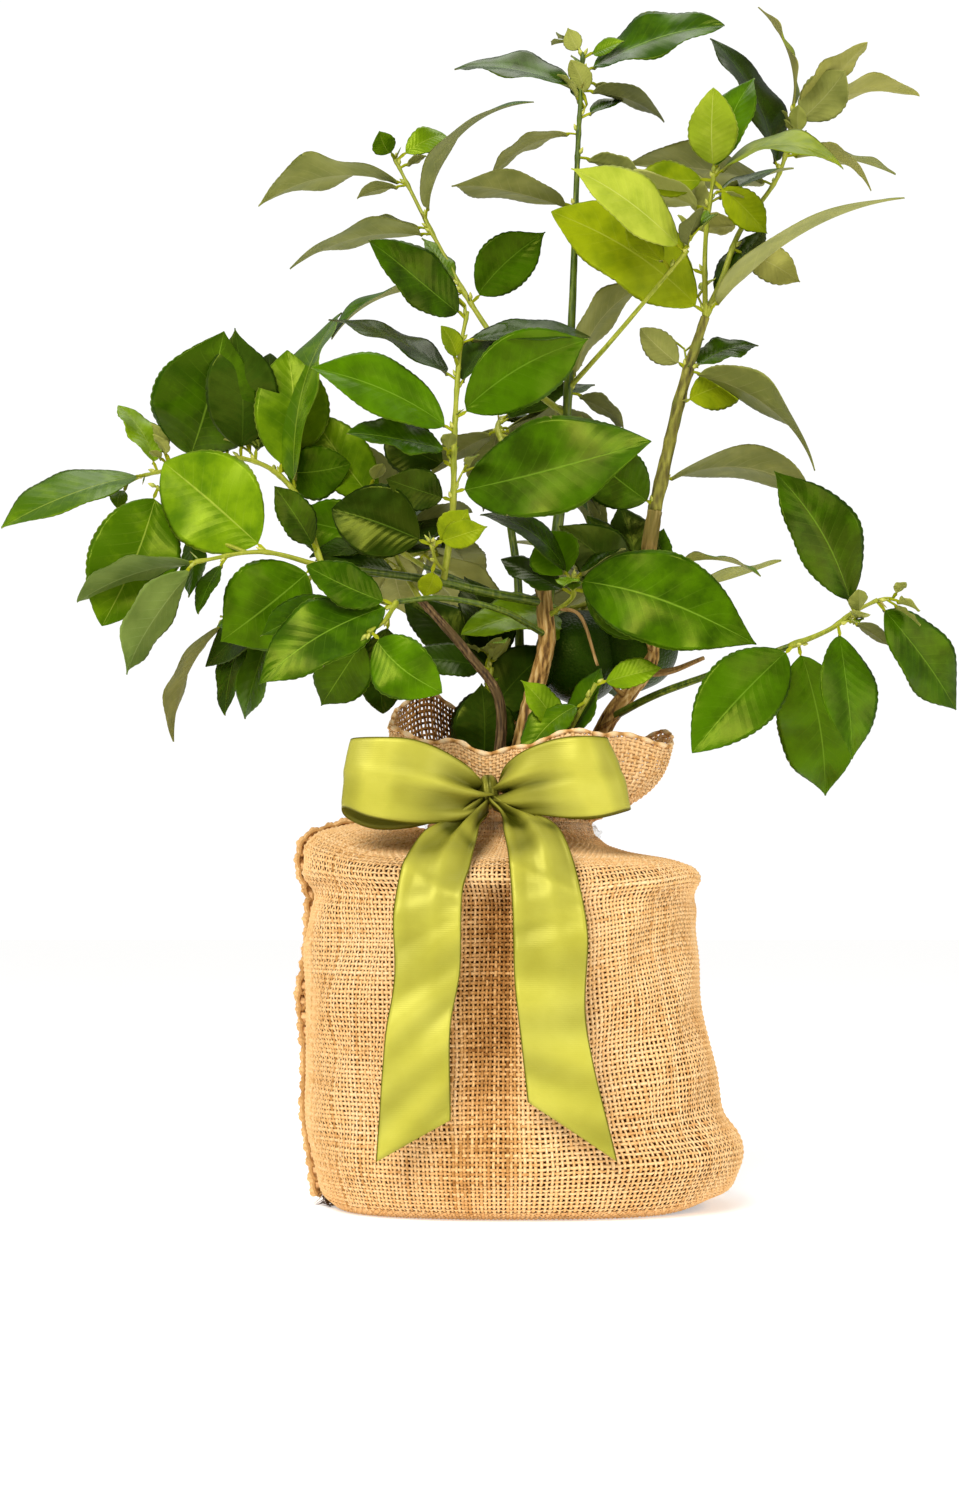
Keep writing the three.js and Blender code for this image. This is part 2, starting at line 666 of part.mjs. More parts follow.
        route: [[-16, 14, stemFoot], [-14, 18, 262], [-10, 16, 292]], radii: [1.8, 1],
        leaves: [
          [0.7, 6.2, 46, 0.9], [0.9, 7, 44, 0.8], [1, 9.2, 46, 0.8], [0.8, 3.8, 44, 0.7],
          [0.2, 0, 52, 1.4], [0.6, 1.4, 56, 1.2], [0.95, 10.4, 64, 0.9], [0.9, 11.6, 62, 0.9],
        ],
      },
    ],
  },
  back_top_mass: {
    finish: 'matureLeaf', seed: 163, space: { left: -45, right: 60, foot: 350, top: 482 },
    shoots: [
      { route: [[-3, 66, 423], [-6, 84, 436], [-4, 106, 446]], radii: [1.8, 1], spiral: 9 },
      { from: 0.3, route: [[14, 92, 428], [26, 112, 430]], radii: [1.2, 0.8], spiral: 6 },
    ],
  },
  back_left_mass: {
    finish: 'matureLeaf', seed: 173, space: { left: -122, right: 0, foot: 305, top: 428 },
    shoots: [
      { route: [[-48, 70, 354], [-62, 80, 364], [-74, 98, 374]], radii: [1.5, 0.9], spiral: 9 },
      { from: 0.3, route: [[-46, 102, 368], [-36, 122, 380]], radii: [1.2, 0.8], spiral: 7 },
    ],
  },
  back_right_mass: {
    finish: 'matureLeaf', seed: 181, space: { left: -5, right: 97, foot: 300, top: 405 },
    shoots: [
      { route: [[70, 62, 346], [65, 86, 354], [61, 112, 362]], radii: [1.6, 0.9], spiral: 9 },
      { from: 0.3, route: [[42, 98, 358], [24, 120, 368]], radii: [1.2, 0.8], spiral: 7 },
    ],
  },
};

const twigSides = 3;
const twigRings = 8;
const lastRoot = 0.985;
const widthOfLength = 0.47;
const petioleLength = 7;
const petioleHalfWidth = 0.9;
const longestStalkShare = 0.3;
const leafThickness = 0.02;
const leastThickness = 0.9;
const foldRange = [0.08, 0.3];
const arcRange = [0.15, 0.5];
const innerLengthRange = [52, 76];
const leanRange = [0.15, 0.5];
const spreadRange = [0.85, 1.3];
const rollRange = [-0.5, 0.5];
const firstSpiralShare = 0.35;
const limeTallness = 1.06;
const limeSides = 12;
const limeRings = 8;
const limeDrop = 2;
const limeStalkRadius = 1.2;
// Stations along the blade: share of its length, and share of its greatest half width.
const bladeStations = [[0.27, 0.95], [0.68, 0.88]];

// One leaf as a folded blade on a short petiole, its midrib bent in an arc towards the underside.
function leafSolid({ root, heading, normal, length, width, fold, arc }) {
  const side = heading.clone().cross(normal).normalize();
  const spanAt = (share) => {
    const turn = (share - 0.5) * arc;
    const radius = length / (2 * Math.sin(arc / 2));
    const along = length / 2 + radius * Math.sin(turn);
    const rise = radius * (Math.cos(turn) - Math.cos(arc / 2));
    return root.clone().addScaledVector(heading, along).addScaledVector(normal, rise);
  };
  const section = (share, halfWidth, thickness) => {
    const middle = spanAt(share);
    const lift = halfWidth * Math.sin(fold);
    const reach = halfWidth * Math.cos(fold);
    return [
      middle.clone().addScaledVector(normal, -thickness),
      middle.clone().addScaledVector(side, reach).addScaledVector(normal, lift),
      middle.clone(),
      middle.clone().addScaledVector(side, -reach).addScaledVector(normal, lift),
    ];
  };
  const thickness = Math.max(leafThickness * length, leastThickness);
  const stalkShare = Math.min(petioleLength / length, longestStalkShare);
  const rings = [[root.clone()], section(stalkShare, petioleHalfWidth, thickness)];
  for (const [share, fullness] of bladeStations) {
    const along = mix(stalkShare, 1, share);
    rings.push(section(along, fullness * length * width / 2, thickness));
  }
  rings.push([spanAt(1)]);
  return solidFrom(skin(rings));
}

// Heading and blade normal of a leaf that shows, from its clock heading, facing and lean towards the viewer.
function shownLeaf(root, [, clock, seenLength, facing, ownArc], lean, twist, random) {
  const angle = clock * Math.PI / 6;
  const toViewer = viewpoint.clone().sub(root).normalize();
  const seenRight = up.clone().cross(toViewer).normalize();
  const seenUp = toViewer.clone().cross(seenRight);
  const heading = seenRight.multiplyScalar(Math.sin(angle)).addScaledVector(seenUp, Math.cos(angle));
  heading.multiplyScalar(Math.cos(lean)).addScaledVector(toViewer, Math.sin(lean));
  const facingNormal = toViewer.clone().addScaledVector(heading, -toViewer.dot(heading)).normalize();
  const edgeNormal = heading.clone().cross(facingNormal).normalize();
  if (edgeNormal.z < 0) edgeNormal.negate();
  const share = Math.max(-1, Math.min(1, facing + twist));
  const width = widthOfLength * Math.max(1, Math.abs(facing));
  const normal = facingNormal.multiplyScalar(share).addScaledVector(edgeNormal, Math.sqrt(1 - share * share));
  const length = seenLength / Math.cos(lean);
  const fold = between(random, ...foldRange);
  const arc = between(random, ...arcRange);
  return { root, heading, normal, length, width, fold, arc: ownArc ?? arc };
}

// Heading and blade normal of a leaf deeper in the crown, spiralling round its shoot.
function spiralLeaf(root, tangent, index, turn, random) {
  const across = new THREE.Vector3().crossVectors(tangent, up).normalize();
  across.applyAxisAngle(tangent, index * goldenAngle + turn);
  const spread = between(random, ...spreadRange);
  const heading = tangent.clone().multiplyScalar(Math.cos(spread)).addScaledVector(across, Math.sin(spread));
  const normal = up.clone().addScaledVector(heading, -up.dot(heading)).normalize();
  normal.applyAxisAngle(heading, between(random, ...rollRange));
  const length = between(random, ...innerLengthRange);
  const fold = between(random, ...foldRange);
  const arc = between(random, ...arcRange);
  return { root, heading, normal, length, width: widthOfLength, fold, arc };
}

// Point at a share of a twig's length, on the straight pieces that its solid is made of.
function pointOnTwig(curve, share) {
  const piece = Math.min(Math.floor(share * twigRings), twigRings - 1);
  const start = curve.getPointAt(piece / twigRings);
  const end = curve.getPointAt((piece + 1) / twigRings);
  return start.lerp(end, share * twigRings - piece);
}

// Whether a leaf's tip stays inside the space of its mass, seen from the front.
function staysInside(leaf, space) {
  const tip = leaf.root.clone().addScaledVector(leaf.heading, leaf.length);
  return tip.x > space.left && tip.x < space.right && tip.z > space.foot && tip.z < space.top;
}

function limeSolid(centre, diameter) {
  const geometry = new THREE.SphereGeometry(diameter / 2, limeSides, limeRings);
  geometry.rotateX(Math.PI / 2);
  geometry.scale(1, 1, limeTallness);
  geometry.translate(centre.x, centre.y, centre.z);
  return solidFrom(geometry);
}

// Twigs of a mass first, so that the leaves of every mass can keep clear of them.
function growTwigs(mass) {
  mass.curves = [];
  for (const shoot of mass.shoots) {
    const foot = shoot.from === undefined ? [] : [pointOnTwig(mass.curves[0], shoot.from).toArray()];
    mass.curves.push(curveThrough([...foot, ...shoot.route]));
  }
  const tubes = mass.shoots.map((shoot, i) => {
    const radiusAt = (t) => mix(shoot.radii[0], shoot.radii[1], t);
    return taperedTube(mass.curves[i], radiusAt, twigSides, twigRings);
  });
  const pieces = [...tubes];
  mass.shoots.forEach((shoot, i) => {
    for (const [at, diameter, aside] of shoot.limes ?? []) {
      const top = pointOnTwig(mass.curves[i], at);
      const centre = top.clone().add(new THREE.Vector3(aside, 0, -diameter / 2 - limeDrop));
      pieces.push(limeSolid(centre, diameter));
      const stalk = new THREE.LineCurve3(top, centre);
      pieces.push(taperedTube(stalk, () => limeStalkRadius, twigSides, 1));
    }
  });
  return join(pieces);
}

let keepOff = join([...limbHalos, ...placed]);
const twigsOf = {};
for (const [name, mass] of Object.entries(masses)) {
  twigsOf[name] = mainBody(growTwigs(mass).subtract(keepOff));
  keepOff = join([keepOff, twigsOf[name]]);
}

// A leaf tries leans in turn, as shares of its own first lean, until it is clear of everything.
// The last tries also turn its face a little, and a spiral leaf turns on round its shoot instead.
const leanTries = [1, -1, 2, -2, 0.2, 3, -3];
const twistTries = [0, 0, 0, 0, 0, -0.25, -0.25];
const turnOfTry = 0.9;

for (const [name, mass] of Object.entries(masses)) {
  const random = seededRandom(mass.seed);
  const others = keepOff.subtract(twigsOf[name]).asOriginal();
  const pieces = [twigsOf[name]];
  mass.shoots.forEach((shoot, i) => {
    const curve = mass.curves[i];
    const shown = shoot.leaves ?? [];
    const count = shoot.spiral ?? shown.length;
    for (let n = 0; n < count; n++) {
      const firstLean = between(random, ...leanRange) * (n % 2 ? -1 : 1);
      const spread = shown[n] ? shown[n][0] : mix(firstSpiralShare, 1, n / (count - 1));
      const root = pointOnTwig(curve, Math.min(spread, lastRoot));
      const seedOfLeaf = Math.floor(random() * 1e6);
      const candidates = leanTries.map((share, turn) => {
        const own = seededRandom(seedOfLeaf);
        return shown[n]
          ? shownLeaf(root, shown[n], firstLean * share, twistTries[turn], own)
          : spiralLeaf(root, curve.getTangentAt(spread), n, turn * turnOfTry, own);
      });
      const inside = candidates.filter((leaf) => !mass.space || staysInside(leaf, mass.space));
      const leaves = inside.map(leafSolid);
      const clear = leaves.find((leaf) => !overlaps(leaf, others));
      if (clear) pieces.push(clear);
      leaves.filter((leaf) => leaf !== clear).forEach((leaf) => leaf.delete());
    }
  });
  const body = mainBody(join(pieces));
  addPart(name, body, mass.finish);
  keepOff = join([keepOff, body]);
}

export default tree;
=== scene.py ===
# Young Persian lime tree in a pot wrapped in a burlap sack, with a satin bow at the sack's tied neck.
# Sizes are in millimetres until a mesh is made. X is right, Y is away from the viewer and Z is up.
import math
import bpy
import numpy as np
from mathutils import Matrix, Vector, noise
from mathutils.bvhtree import BVHTree


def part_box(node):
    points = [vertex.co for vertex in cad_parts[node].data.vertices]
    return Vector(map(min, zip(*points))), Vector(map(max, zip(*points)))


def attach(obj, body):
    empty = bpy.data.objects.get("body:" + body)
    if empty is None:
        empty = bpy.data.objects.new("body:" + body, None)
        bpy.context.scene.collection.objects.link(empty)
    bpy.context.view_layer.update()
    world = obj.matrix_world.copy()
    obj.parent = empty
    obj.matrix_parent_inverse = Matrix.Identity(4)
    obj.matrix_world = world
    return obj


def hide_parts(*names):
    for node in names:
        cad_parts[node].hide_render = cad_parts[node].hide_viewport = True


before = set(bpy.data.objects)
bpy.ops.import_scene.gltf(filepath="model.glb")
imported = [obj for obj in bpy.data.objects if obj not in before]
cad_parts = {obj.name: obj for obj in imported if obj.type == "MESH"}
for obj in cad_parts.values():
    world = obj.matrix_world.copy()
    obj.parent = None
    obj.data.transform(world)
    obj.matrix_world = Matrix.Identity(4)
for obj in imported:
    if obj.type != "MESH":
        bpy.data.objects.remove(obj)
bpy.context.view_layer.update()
mm = 0.001
goldenAngle = math.pi * (3 - math.sqrt(5))
upward = Vector((0, 0, 1))
viewpoint = Vector((-17, -1500, 165))
neckRadius = 44
neckHeight = 206
soilTop = 214.3
stemFoot = 214.6


# Small tools for nodes, meshes and curves

def linear(hexText):
    channels = [int(hexText[i:i + 2], 16) / 255 for i in (1, 3, 5)]
    return [c / 12.92 if c <= 0.04045 else ((c + 0.055) / 1.055) ** 2.4 for c in channels] + [1.0]


# One node, as one of its outputs. A setting is a number, a hex colour or an output of another node.
def addNode(tree, kind, settings, output=0):
    node = tree.nodes.new("ShaderNode" + kind)
    for key, value in settings.items():
        if isinstance(value, str) and value.startswith("#"):
            value = linear(value)
        if key == "stops":
            ramp = node.color_ramp
            while len(ramp.elements) < len(value):
                ramp.elements.new(0.5)
            for element, (place, colour) in zip(ramp.elements, value):
                element.position = place
                element.color = linear(colour)
        elif isinstance(value, bpy.types.NodeSocket):
            tree.links.new(value, node.inputs[key])
        elif isinstance(key, int) or key in node.inputs:
            node.inputs[key].default_value = value
        else:
            setattr(node, key, value)
    return node.outputs[output] if len(node.outputs) else None


# The nodes of one material, which close() joins to its shader
class Finish:
    def __init__(self, name):
        self.material = bpy.data.materials.new(name)
        self.material.use_nodes = True
        self.tree = self.material.node_tree
        self.tree.nodes.clear()
        self.place = addNode(self.tree, "TexCoord", {}, "Object")

    def tint(self):
        return addNode(self.tree, "Attribute", {"attribute_name": "tint"}, "Fac")

    def surface(self, axis):
        uv = addNode(self.tree, "UVMap", {"uv_map": "surfaceUv"})
        return addNode(self.tree, "SeparateXYZ", {0: uv}, axis)

    def grain(self, scale, detail, roughness=0.5, place=None):
        return addNode(self.tree, "TexNoise", {"Scale": scale, "Detail": detail, "Roughness": roughness,
                                               "Vector": self.place if place is None else place}, "Fac")

    def glands(self, scale):
        return addNode(self.tree, "TexVoronoi", {"Scale": scale, "Vector": self.place}, "Distance")

    def calc(self, operation, *values, clamp=False):
        return addNode(self.tree, "Math", {"operation": operation, "use_clamp": clamp,
                                           **dict(enumerate(values))})

    def remap(self, value, low, high, start=0, end=1, curve="LINEAR"):
        return addNode(self.tree, "MapRange", {"interpolation_type": curve, "Value": value, "From Min": low,
                                               "From Max": high, "To Min": start, "To Max": end})

    def ramp(self, factor, stops):
        return addNode(self.tree, "ValToRGB", {"stops": stops, 0: factor})

    def mix(self, factor, first, second):
        return addNode(self.tree, "Mix", {"data_type": "RGBA", 0: factor, 6: first, 7: second}, 2)

    def bump(self, height, strength, distance, **more):
        return addNode(self.tree, "Bump", {"Height": height, "Strength": strength, "Distance": distance,
                                           **more})

    def close(self, shading, colour=None, normal=None):
        shader = addNode(self.tree, "BsdfPrincipled", shading)
        for key, source in (("Base Color", colour), ("Normal", normal)):
            if source is not None:
                self.tree.links.new(source, shader.node.inputs[key])
        addNode(self.tree, "OutputMaterial", {"Surface": shader})
        return self.material


# A growing heap of points and faces that becomes one joined mesh
class Heap:
    def __init__(self):
        self.points, self.faces, self.slots, self.uvs, self.tints = [], [], [], [], []
        self.count = 0

    def add(self, points, faces, slot=0, uvs=None, tint=0.5):
        points = np.asarray(points, float).reshape(-1, 3)
        self.points.append(points)
        self.uvs.append(np.zeros((len(points), 2)) if uvs is None else np.asarray(uvs, float))
        self.tints.append(np.broadcast_to(np.asarray(tint, float), (len(points),)))
        self.faces.extend([[i + self.count for i in face] for face in faces])
        self.slots.extend([slot] * len(faces))
        self.count += len(points)


def makePiece(name, heap, materials, slot, replaces):
    mesh = bpy.data.meshes.new(name)
    mesh.from_pydata((np.concatenate(heap.points) * mm).tolist(), [], heap.faces)
    for material in materials:
        mesh.materials.append(material)
    mesh.polygons.foreach_set("use_smooth", [True] * len(mesh.polygons))
    mesh.polygons.foreach_set("material_index", heap.slots)
    corners = np.zeros(len(mesh.loops), int)
    mesh.loops.foreach_get("vertex_index", corners)
    layer = mesh.uv_layers.new(name="surfaceUv")
    layer.data.foreach_set("uv", np.concatenate(heap.uvs)[corners].astype(np.float32).ravel())
    tint = mesh.attributes.new("tint", "FLOAT", "POINT")
    tint.data.foreach_set("value", np.concatenate(heap.tints).astype(np.float32))
    mesh.update()
    piece = bpy.data.objects.new(name, mesh)
    bpy.context.collection.objects.link(piece)
    return settle(piece, slot, replaces)


def settle(piece, slot, replaces):
    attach(piece, "root")
    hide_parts(*replaces)
    return piece


# A shape that Blender makes, smooth, with a new name
def takeShape(name):
    shape = bpy.context.object
    shape.name = name
    bpy.ops.object.shade_smooth()
    return shape


def gridFaces(rows, columns, closed=False):
    wide = columns if closed else columns - 1
    i, j = np.meshgrid(np.arange(rows - 1), np.arange(wide), indexing="ij")
    following = (j + 1) % columns
    corners = [i * columns + j, i * columns + following, (i + 1) * columns + following, (i + 1) * columns + j]
    return np.stack(corners, -1).reshape(-1, 4)


# Faces of a closed tube of rings, with a flat cap at each end
def tubeFaces(rows, columns, turned=False):
    faces = gridFaces(rows, columns, True)
    if turned:
        faces = faces[:, ::-1]
    foot = list(range(columns))
    top = [(rows - 1) * columns + k for k in foot]
    caps = [foot, top[::-1]] if turned else [foot[::-1], top]
    return faces.tolist() + caps


# Centripetal Catmull-Rom curve through a route, in even steps of its length, with a frame at each step
def smoothRoute(route, steps, samples=24):
    points = [np.asarray(p, float) for p in route]
    points = [2 * points[0] - points[1], *points, 2 * points[-1] - points[-2]]
    dense = []
    for a, b, c, d in zip(points, points[1:], points[2:], points[3:]):
        ab, bc, cd = (max(np.linalg.norm(q - p), 1e-6) ** 0.5 for p, q in ((a, b), (b, c), (c, d)))
        start = ((b - a) / ab - (c - a) / (ab + bc) + (c - b) / bc) * bc
        end = ((c - b) / bc - (d - b) / (bc + cd) + (d - c) / cd) * bc
        for t in np.arange(0, 1, 1 / samples):
            dense.append(b + start * t + (3 * (c - b) - 2 * start - end) * t ** 2
                         + (2 * (b - c) + start + end) * t ** 3)
    dense = np.array([*dense, points[-2]])
    reach = np.concatenate([[0], np.cumsum(np.linalg.norm(np.diff(dense, axis=0), axis=1))])
    wanted = np.linspace(0, reach[-1], steps + 1)
    line = np.stack([np.interp(wanted, reach, dense[:, k]) for k in range(3)], 1)
    tangents = np.gradient(line, axis=0)
    tangents /= np.linalg.norm(tangents, axis=1)[:, None]
    across = np.cross(tangents[0], (0.13, 0.99, 0.05))
    sides = []
    for tangent in tangents:
        across = across - tangent * across.dot(tangent)
        across = across / np.linalg.norm(across)
        sides.append(across)
    sides = np.array(sides)
    return line, tangents, sides, np.cross(tangents, sides), reach[-1]


def routeLength(route):
    return smoothRoute(route, 40)[4]


def routePoint(route, share, steps=60):
    line, tangents, *_ = smoothRoute(route, steps)
    place = share * steps
    i = min(int(place), steps - 1)
    return Vector(line[i] + (line[i + 1] - line[i]) * (place - i)), Vector(tangents[round(place)])


def addTube(heap, route, radiusAt, sides, steps, slot=0, relief=None, tint=0.5):
    line, _, across, other, length = smoothRoute(route, steps)
    angles = np.arange(sides) / sides * 2 * math.pi
    shares = np.linspace(0, 1, steps + 1)
    radii = np.array([radiusAt(s) for s in shares])[:, None] * np.ones(sides)
    if relief:
        height = relief(shares[:, None] * length, angles[None, :], radii)
        radii = radii + height
        tint = np.clip(0.5 + height / (2 * np.abs(height).max() + 1e-9), 0, 1).ravel()
    ring = across[:, None] * np.cos(angles)[None, :, None] + other[:, None] * np.sin(angles)[None, :, None]
    points = line[:, None] + ring * radii[:, :, None]
    heap.add(points, tubeFaces(steps + 1, sides), slot, tint=tint)


# Burlap sack, woven thread by thread over the pot

sackSize = {
    "threadPitch": 2.4, "threadWidth": 1.56, "threadThickness": 0.8, "crossing": 0.46, "linerInset": 4.2,
    "groovePlace": -10, "grooveWidth": 15, "grooveDepth": 17, "rimHeight": 176, "slant": 15,
    "sideHollows": [(3.2, -0.42, 22, 15), (2.4, 0.16, -62, 13)],  # depth, lean, place and width
    "profileSamples": 400, "girthSamples": 2000, "widestSection": 4, "linerRows": 60, "linerColumns": 96,
}
# Plan outlines: height, reach left, right and in depth, squareness, lift of the left corner
sackSections = [
    (0, 94, 104, 68, 2.35, 0), (5, 101, 117, 82, 2.35, 0), (28, 106, 126, 98, 2.35, 0),
    (54, 109, 112, 100, 2.35, 0), (105, 111, 104, 100, 2.35, 0), (150, 108, 99, 99, 2.35, 0),
    (172, 110, 101, 97, 2.35, 6), (181, 112, 99, 90, 2.35, 12), (185, 103, 89, 80, 2.35, 16),
    (189, 82, 64, 63, 2.3, 17), (193, 62, 51, 51, 2.15, 12), (199, neckRadius, neckRadius, neckRadius, 2, 2),
    (neckHeight, neckRadius, neckRadius, neckRadius, 2, 0),
]


# Values of the sections at places along the list, rounded where two sections meet
def sackSection(place):
    table = np.array(sackSections, float)
    numbers = np.arange(len(table))
    return [sum(weight * np.interp(np.clip(place + shift, 0, len(table) - 1), numbers, column)
                for shift, weight in ((-0.2, 0.25), (0, 0.5), (0.2, 0.25))) for column in table.T]


def ridge(value, centre, width):
    return np.exp(-((value - centre) / width) ** 2)


# Points of the sack's surface for grids of places and angles, with its folds
def sackPoints(place, angle, inset=0):
    height, left, right, depth, squareness, lift = sackSection(place)
    c, s = np.cos(angle), np.sin(angle)
    shrink = (np.abs(c) ** squareness + np.abs(s) ** squareness) ** (-1 / squareness)
    x = np.where(c > 0, right - inset, left - inset) * c * shrink
    y = (depth - inset) * s * shrink
    z = height + lift * np.maximum(0, -c) ** 4
    body = np.clip((height - 12) / 30, 0, 1) * np.clip((191 - height) / 16, 0, 1)
    front = np.clip(-s * 1.6, 0, 1)
    # Hollow between the ribbon's tails, deepest under the knot, and shallower ones to its right and left
    grooveLine = sackSize["groovePlace"] + (z - 100) * 0.02
    pull = sackSize["grooveDepth"] * ridge(x, grooveLine, sackSize["grooveWidth"])
    pull = pull * np.clip((height - 18) / 110, 0.12, 1) * (1 - np.clip((height - 160) / 16, 0, 1))
    for deep, lean, middle, wide in sackSize["sideHollows"]:
        pull += deep * ridge(x + lean * z, middle, wide)
    # Rim of the pot inside, then the cloth falls in under it
    rim = sackSize["rimHeight"] + 2.5 * np.sin(2 * angle + 0.6)
    ripple = 2.6 * ridge(z, rim, 4.5) - 2.4 * ridge(z, rim - 11, 6)
    ripple += 1.2 * np.sin(0.075 * (x * 1.1 + z) + 0.4) + 0.9 * np.sin(0.13 * (z - x * 0.6) + 2 * s)
    ripple += 1.6 * ridge(z, 24 + 0.1 * x, 7) * front + 0.6 * np.sin(0.31 * x - 0.12 * z)
    gather = 1.7 * np.sin(19 * angle + 1.6 * np.sin(3 * angle)) * np.clip((height - 187) / 7, 0, 1)
    gather *= np.clip((205 - height) / 7, 0, 1)
    bulge = 8 * ridge(angle % (2 * math.pi), 5.45, 0.24) * ridge(height, 193, 5)
    swell = (ripple * body - pull * body * front + gather + bulge) / np.maximum(np.hypot(x, y), 1)
    # The two lower corners stand a little off the floor
    rightEar = 5 * ridge(x, 112, 22) * ridge(height, 0, 12) * (x > 0)
    leftEar = 3 * ridge(x, -104, 12) * ridge(height, 0, 10)
    return np.stack([x * (1 + swell), y * (1 + swell), z + rightEar + leftEar], -1)


profilePlaces = np.linspace(0, len(sackSections) - 1, sackSize["profileSamples"])
profile = sackSection(profilePlaces)
profileSteps = np.hypot(np.diff(profile[0]), np.diff((profile[1] + profile[2] + profile[3]) / 3))
profileReach = np.concatenate([[0], np.cumsum(profileSteps)])
clothLength = profileReach[-1]


# Place in the list of sections after a length of cloth, measured up the sack from the floor
def placeAfter(length):
    return np.interp(length, profileReach, profilePlaces)


def lengthsOf(vectors):
    return np.linalg.norm(vectors, axis=2)


# Threads of a plain weave over a grid of crossings, as two heaps: upright threads and level threads
def weaveThreads(grid, size, seed):
    rng = np.random.default_rng(seed)
    rows, columns = grid.shape[:2]
    around = np.roll(grid, -1, 1) - np.roll(grid, 1, 1)
    along = np.gradient(grid, axis=0)
    pitchAround = lengthsOf(around) / 2
    pitchAlong = lengthsOf(along)
    around /= lengthsOf(around)[:, :, None]
    along /= lengthsOf(along)[:, :, None]
    normal = np.cross(around, along)
    normal /= lengthsOf(normal)[:, :, None]
    parity = (-1.0) ** (np.arange(rows)[:, None] + np.arange(columns)[None, :])
    heaps = []
    for upright in (True, False):
        count = columns if upright else rows
        shape = (1, count) if upright else (count, 1)
        side, pitch = (around, pitchAround) if upright else (along, pitchAlong)
        thickness = rng.uniform(0.86, 1.14, shape)
        slub = rng.normal(0, 0.08, (rows, columns)) + 1
        width = np.minimum(size["threadWidth"] * size.get("cover", 1) * thickness * slub, 0.93 * pitch)
        shift = rng.normal(0, 0.13, shape) + rng.normal(0, 0.07, (rows, columns))
        shift = shift * np.minimum(pitch, 2.4) / 2.4
        rise = size["crossing"] * parity * (1 if upright else -1)
        centre = grid + normal * rise[:, :, None] + side * shift[:, :, None]
        half = side * width[:, :, None] / 2
        flat = normal * size["threadThickness"] / 2
        corners = np.stack([centre - half, centre + flat, centre + half, centre - flat], 2)
        tints = rng.normal(0.5, 0.09, shape) + rng.normal(0, 0.06, (rows, columns))
        # Painted shade, where the size gives it, darkens the threads
        tints = np.clip(tints - size.get("paintedShade", 0), -0.3, 1)
        index = np.arange(rows * columns * 4).reshape(rows, columns, 4)
        first, second = (index[:-1], index[1:]) if upright else (np.roll(index, -1, 1), index)
        faces = np.stack([first, np.roll(first, -1, 2), np.roll(second, -1, 2), second], -1)
        faces = faces.reshape(-1, 4).tolist()
        if upright:
            faces += index[0][:, ::-1].tolist() + index[-1].tolist()
        heap = Heap()
        heap.add(corners, faces, tint=np.repeat(tints.ravel(), 4))
        heaps.append(heap)
    return heaps


juteShading = {"Roughness": 0.85, "Specular IOR Level": 0.12, "Sheen Weight": 0.18, "Sheen Roughness": 0.5,
               "Sheen Tint": "#e8b673"}


# Jute yarn: dull, hairy bast fibre. Its tone changes from thread to thread, with flecks along each one.
def juteMaterial(name, tones):
    yarn = Finish(name)
    flecked = yarn.calc("MULTIPLY_ADD", yarn.grain(420, 3), 0.5, yarn.tint())
    patched = yarn.calc("MULTIPLY_ADD", yarn.grain(26, 2), 0.5, flecked)
    colour = yarn.ramp(yarn.calc("MULTIPLY", patched, 0.5), tones)
    return yarn.close(juteShading, colour=colour, normal=yarn.bump(yarn.grain(1500, 2), 0.5, 0.0003))


juteYarn = juteMaterial("jute_yarn", [(0.08, "#402208"), (0.2, "#9c6830"), (0.34, "#cd9756"),
                                      (0.46, "#efbf80"), (0.62, "#f7d09a"), (0.85, "#fde3b8")])
juteHem = juteMaterial("jute_hem_roll", [(0.25, "#6e451c"), (0.4, "#bb8a50"), (0.58, "#e6b87c"),
                                         (0.85, "#f3d3a2")])
juteLining = juteMaterial("jute_in_shadow", [(0.2, "#3a1d08"), (0.5, "#5a3210"), (0.85, "#74461c")])

rows = round(clothLength / sackSize["threadPitch"]) + 1
denseAngle = np.linspace(math.pi, 3 * math.pi, sackSize["girthSamples"])
outline = sackPoints(np.full(len(denseAngle), float(sackSize["widestSection"])), denseAngle)
girth = np.concatenate([[0], np.cumsum(np.linalg.norm(np.diff(outline, axis=0), axis=1))])
columns = 2 * round(girth[-1] / sackSize["threadPitch"] / 2)
# Threads stay evenly spread along the girth, also round the blunt corners. To the right of the bow the
# cloth is pulled askew, so its level threads climb to the right.
threadAngle = np.interp(np.arange(columns) / columns * girth[-1], girth, denseAngle)
lengthUp = np.linspace(0, clothLength, rows)
askew = np.clip((np.cos(threadAngle) * 110 - 12) / 85, 0, 1) * (np.sin(threadAngle) < 0.3)
askew = askew * np.clip((0.3 - np.sin(threadAngle)) * 3, 0, 1)
climb = sackSize["slant"] * np.sin(math.pi * np.clip(lengthUp / clothLength, 0, 1)) ** 1.5
sackGrid = sackPoints(placeAfter(lengthUp[:, None] + climb[:, None] * askew[None, :]), threadAngle[None, :])
# Painted shade: the jute is darker in the hollow between the tails, where the bow shades it, and below them
sackX, sackY, sackZ = sackGrid[:, :, 0], sackGrid[:, :, 1], sackGrid[:, :, 2]
paintedShade = 0.32 * np.exp(-((sackX + 10) / 15) ** 4) * np.clip((sackZ - 30) / 40, 0, 1)
paintedShade = paintedShade * np.clip((172 - sackZ) / 8, 0, 1)
paintedShade += 0.24 * ridge(sackX, -5, 6) * ridge(sackZ, 135, 35)
paintedShade += 0.26 * np.exp(-((sackX + 15) / 24) ** 4) * ridge(sackZ, 33, 18)
paintedShade = paintedShade * (sackY < 0)
upright, level = weaveThreads(sackGrid, dict(sackSize, paintedShade=paintedShade), 5)


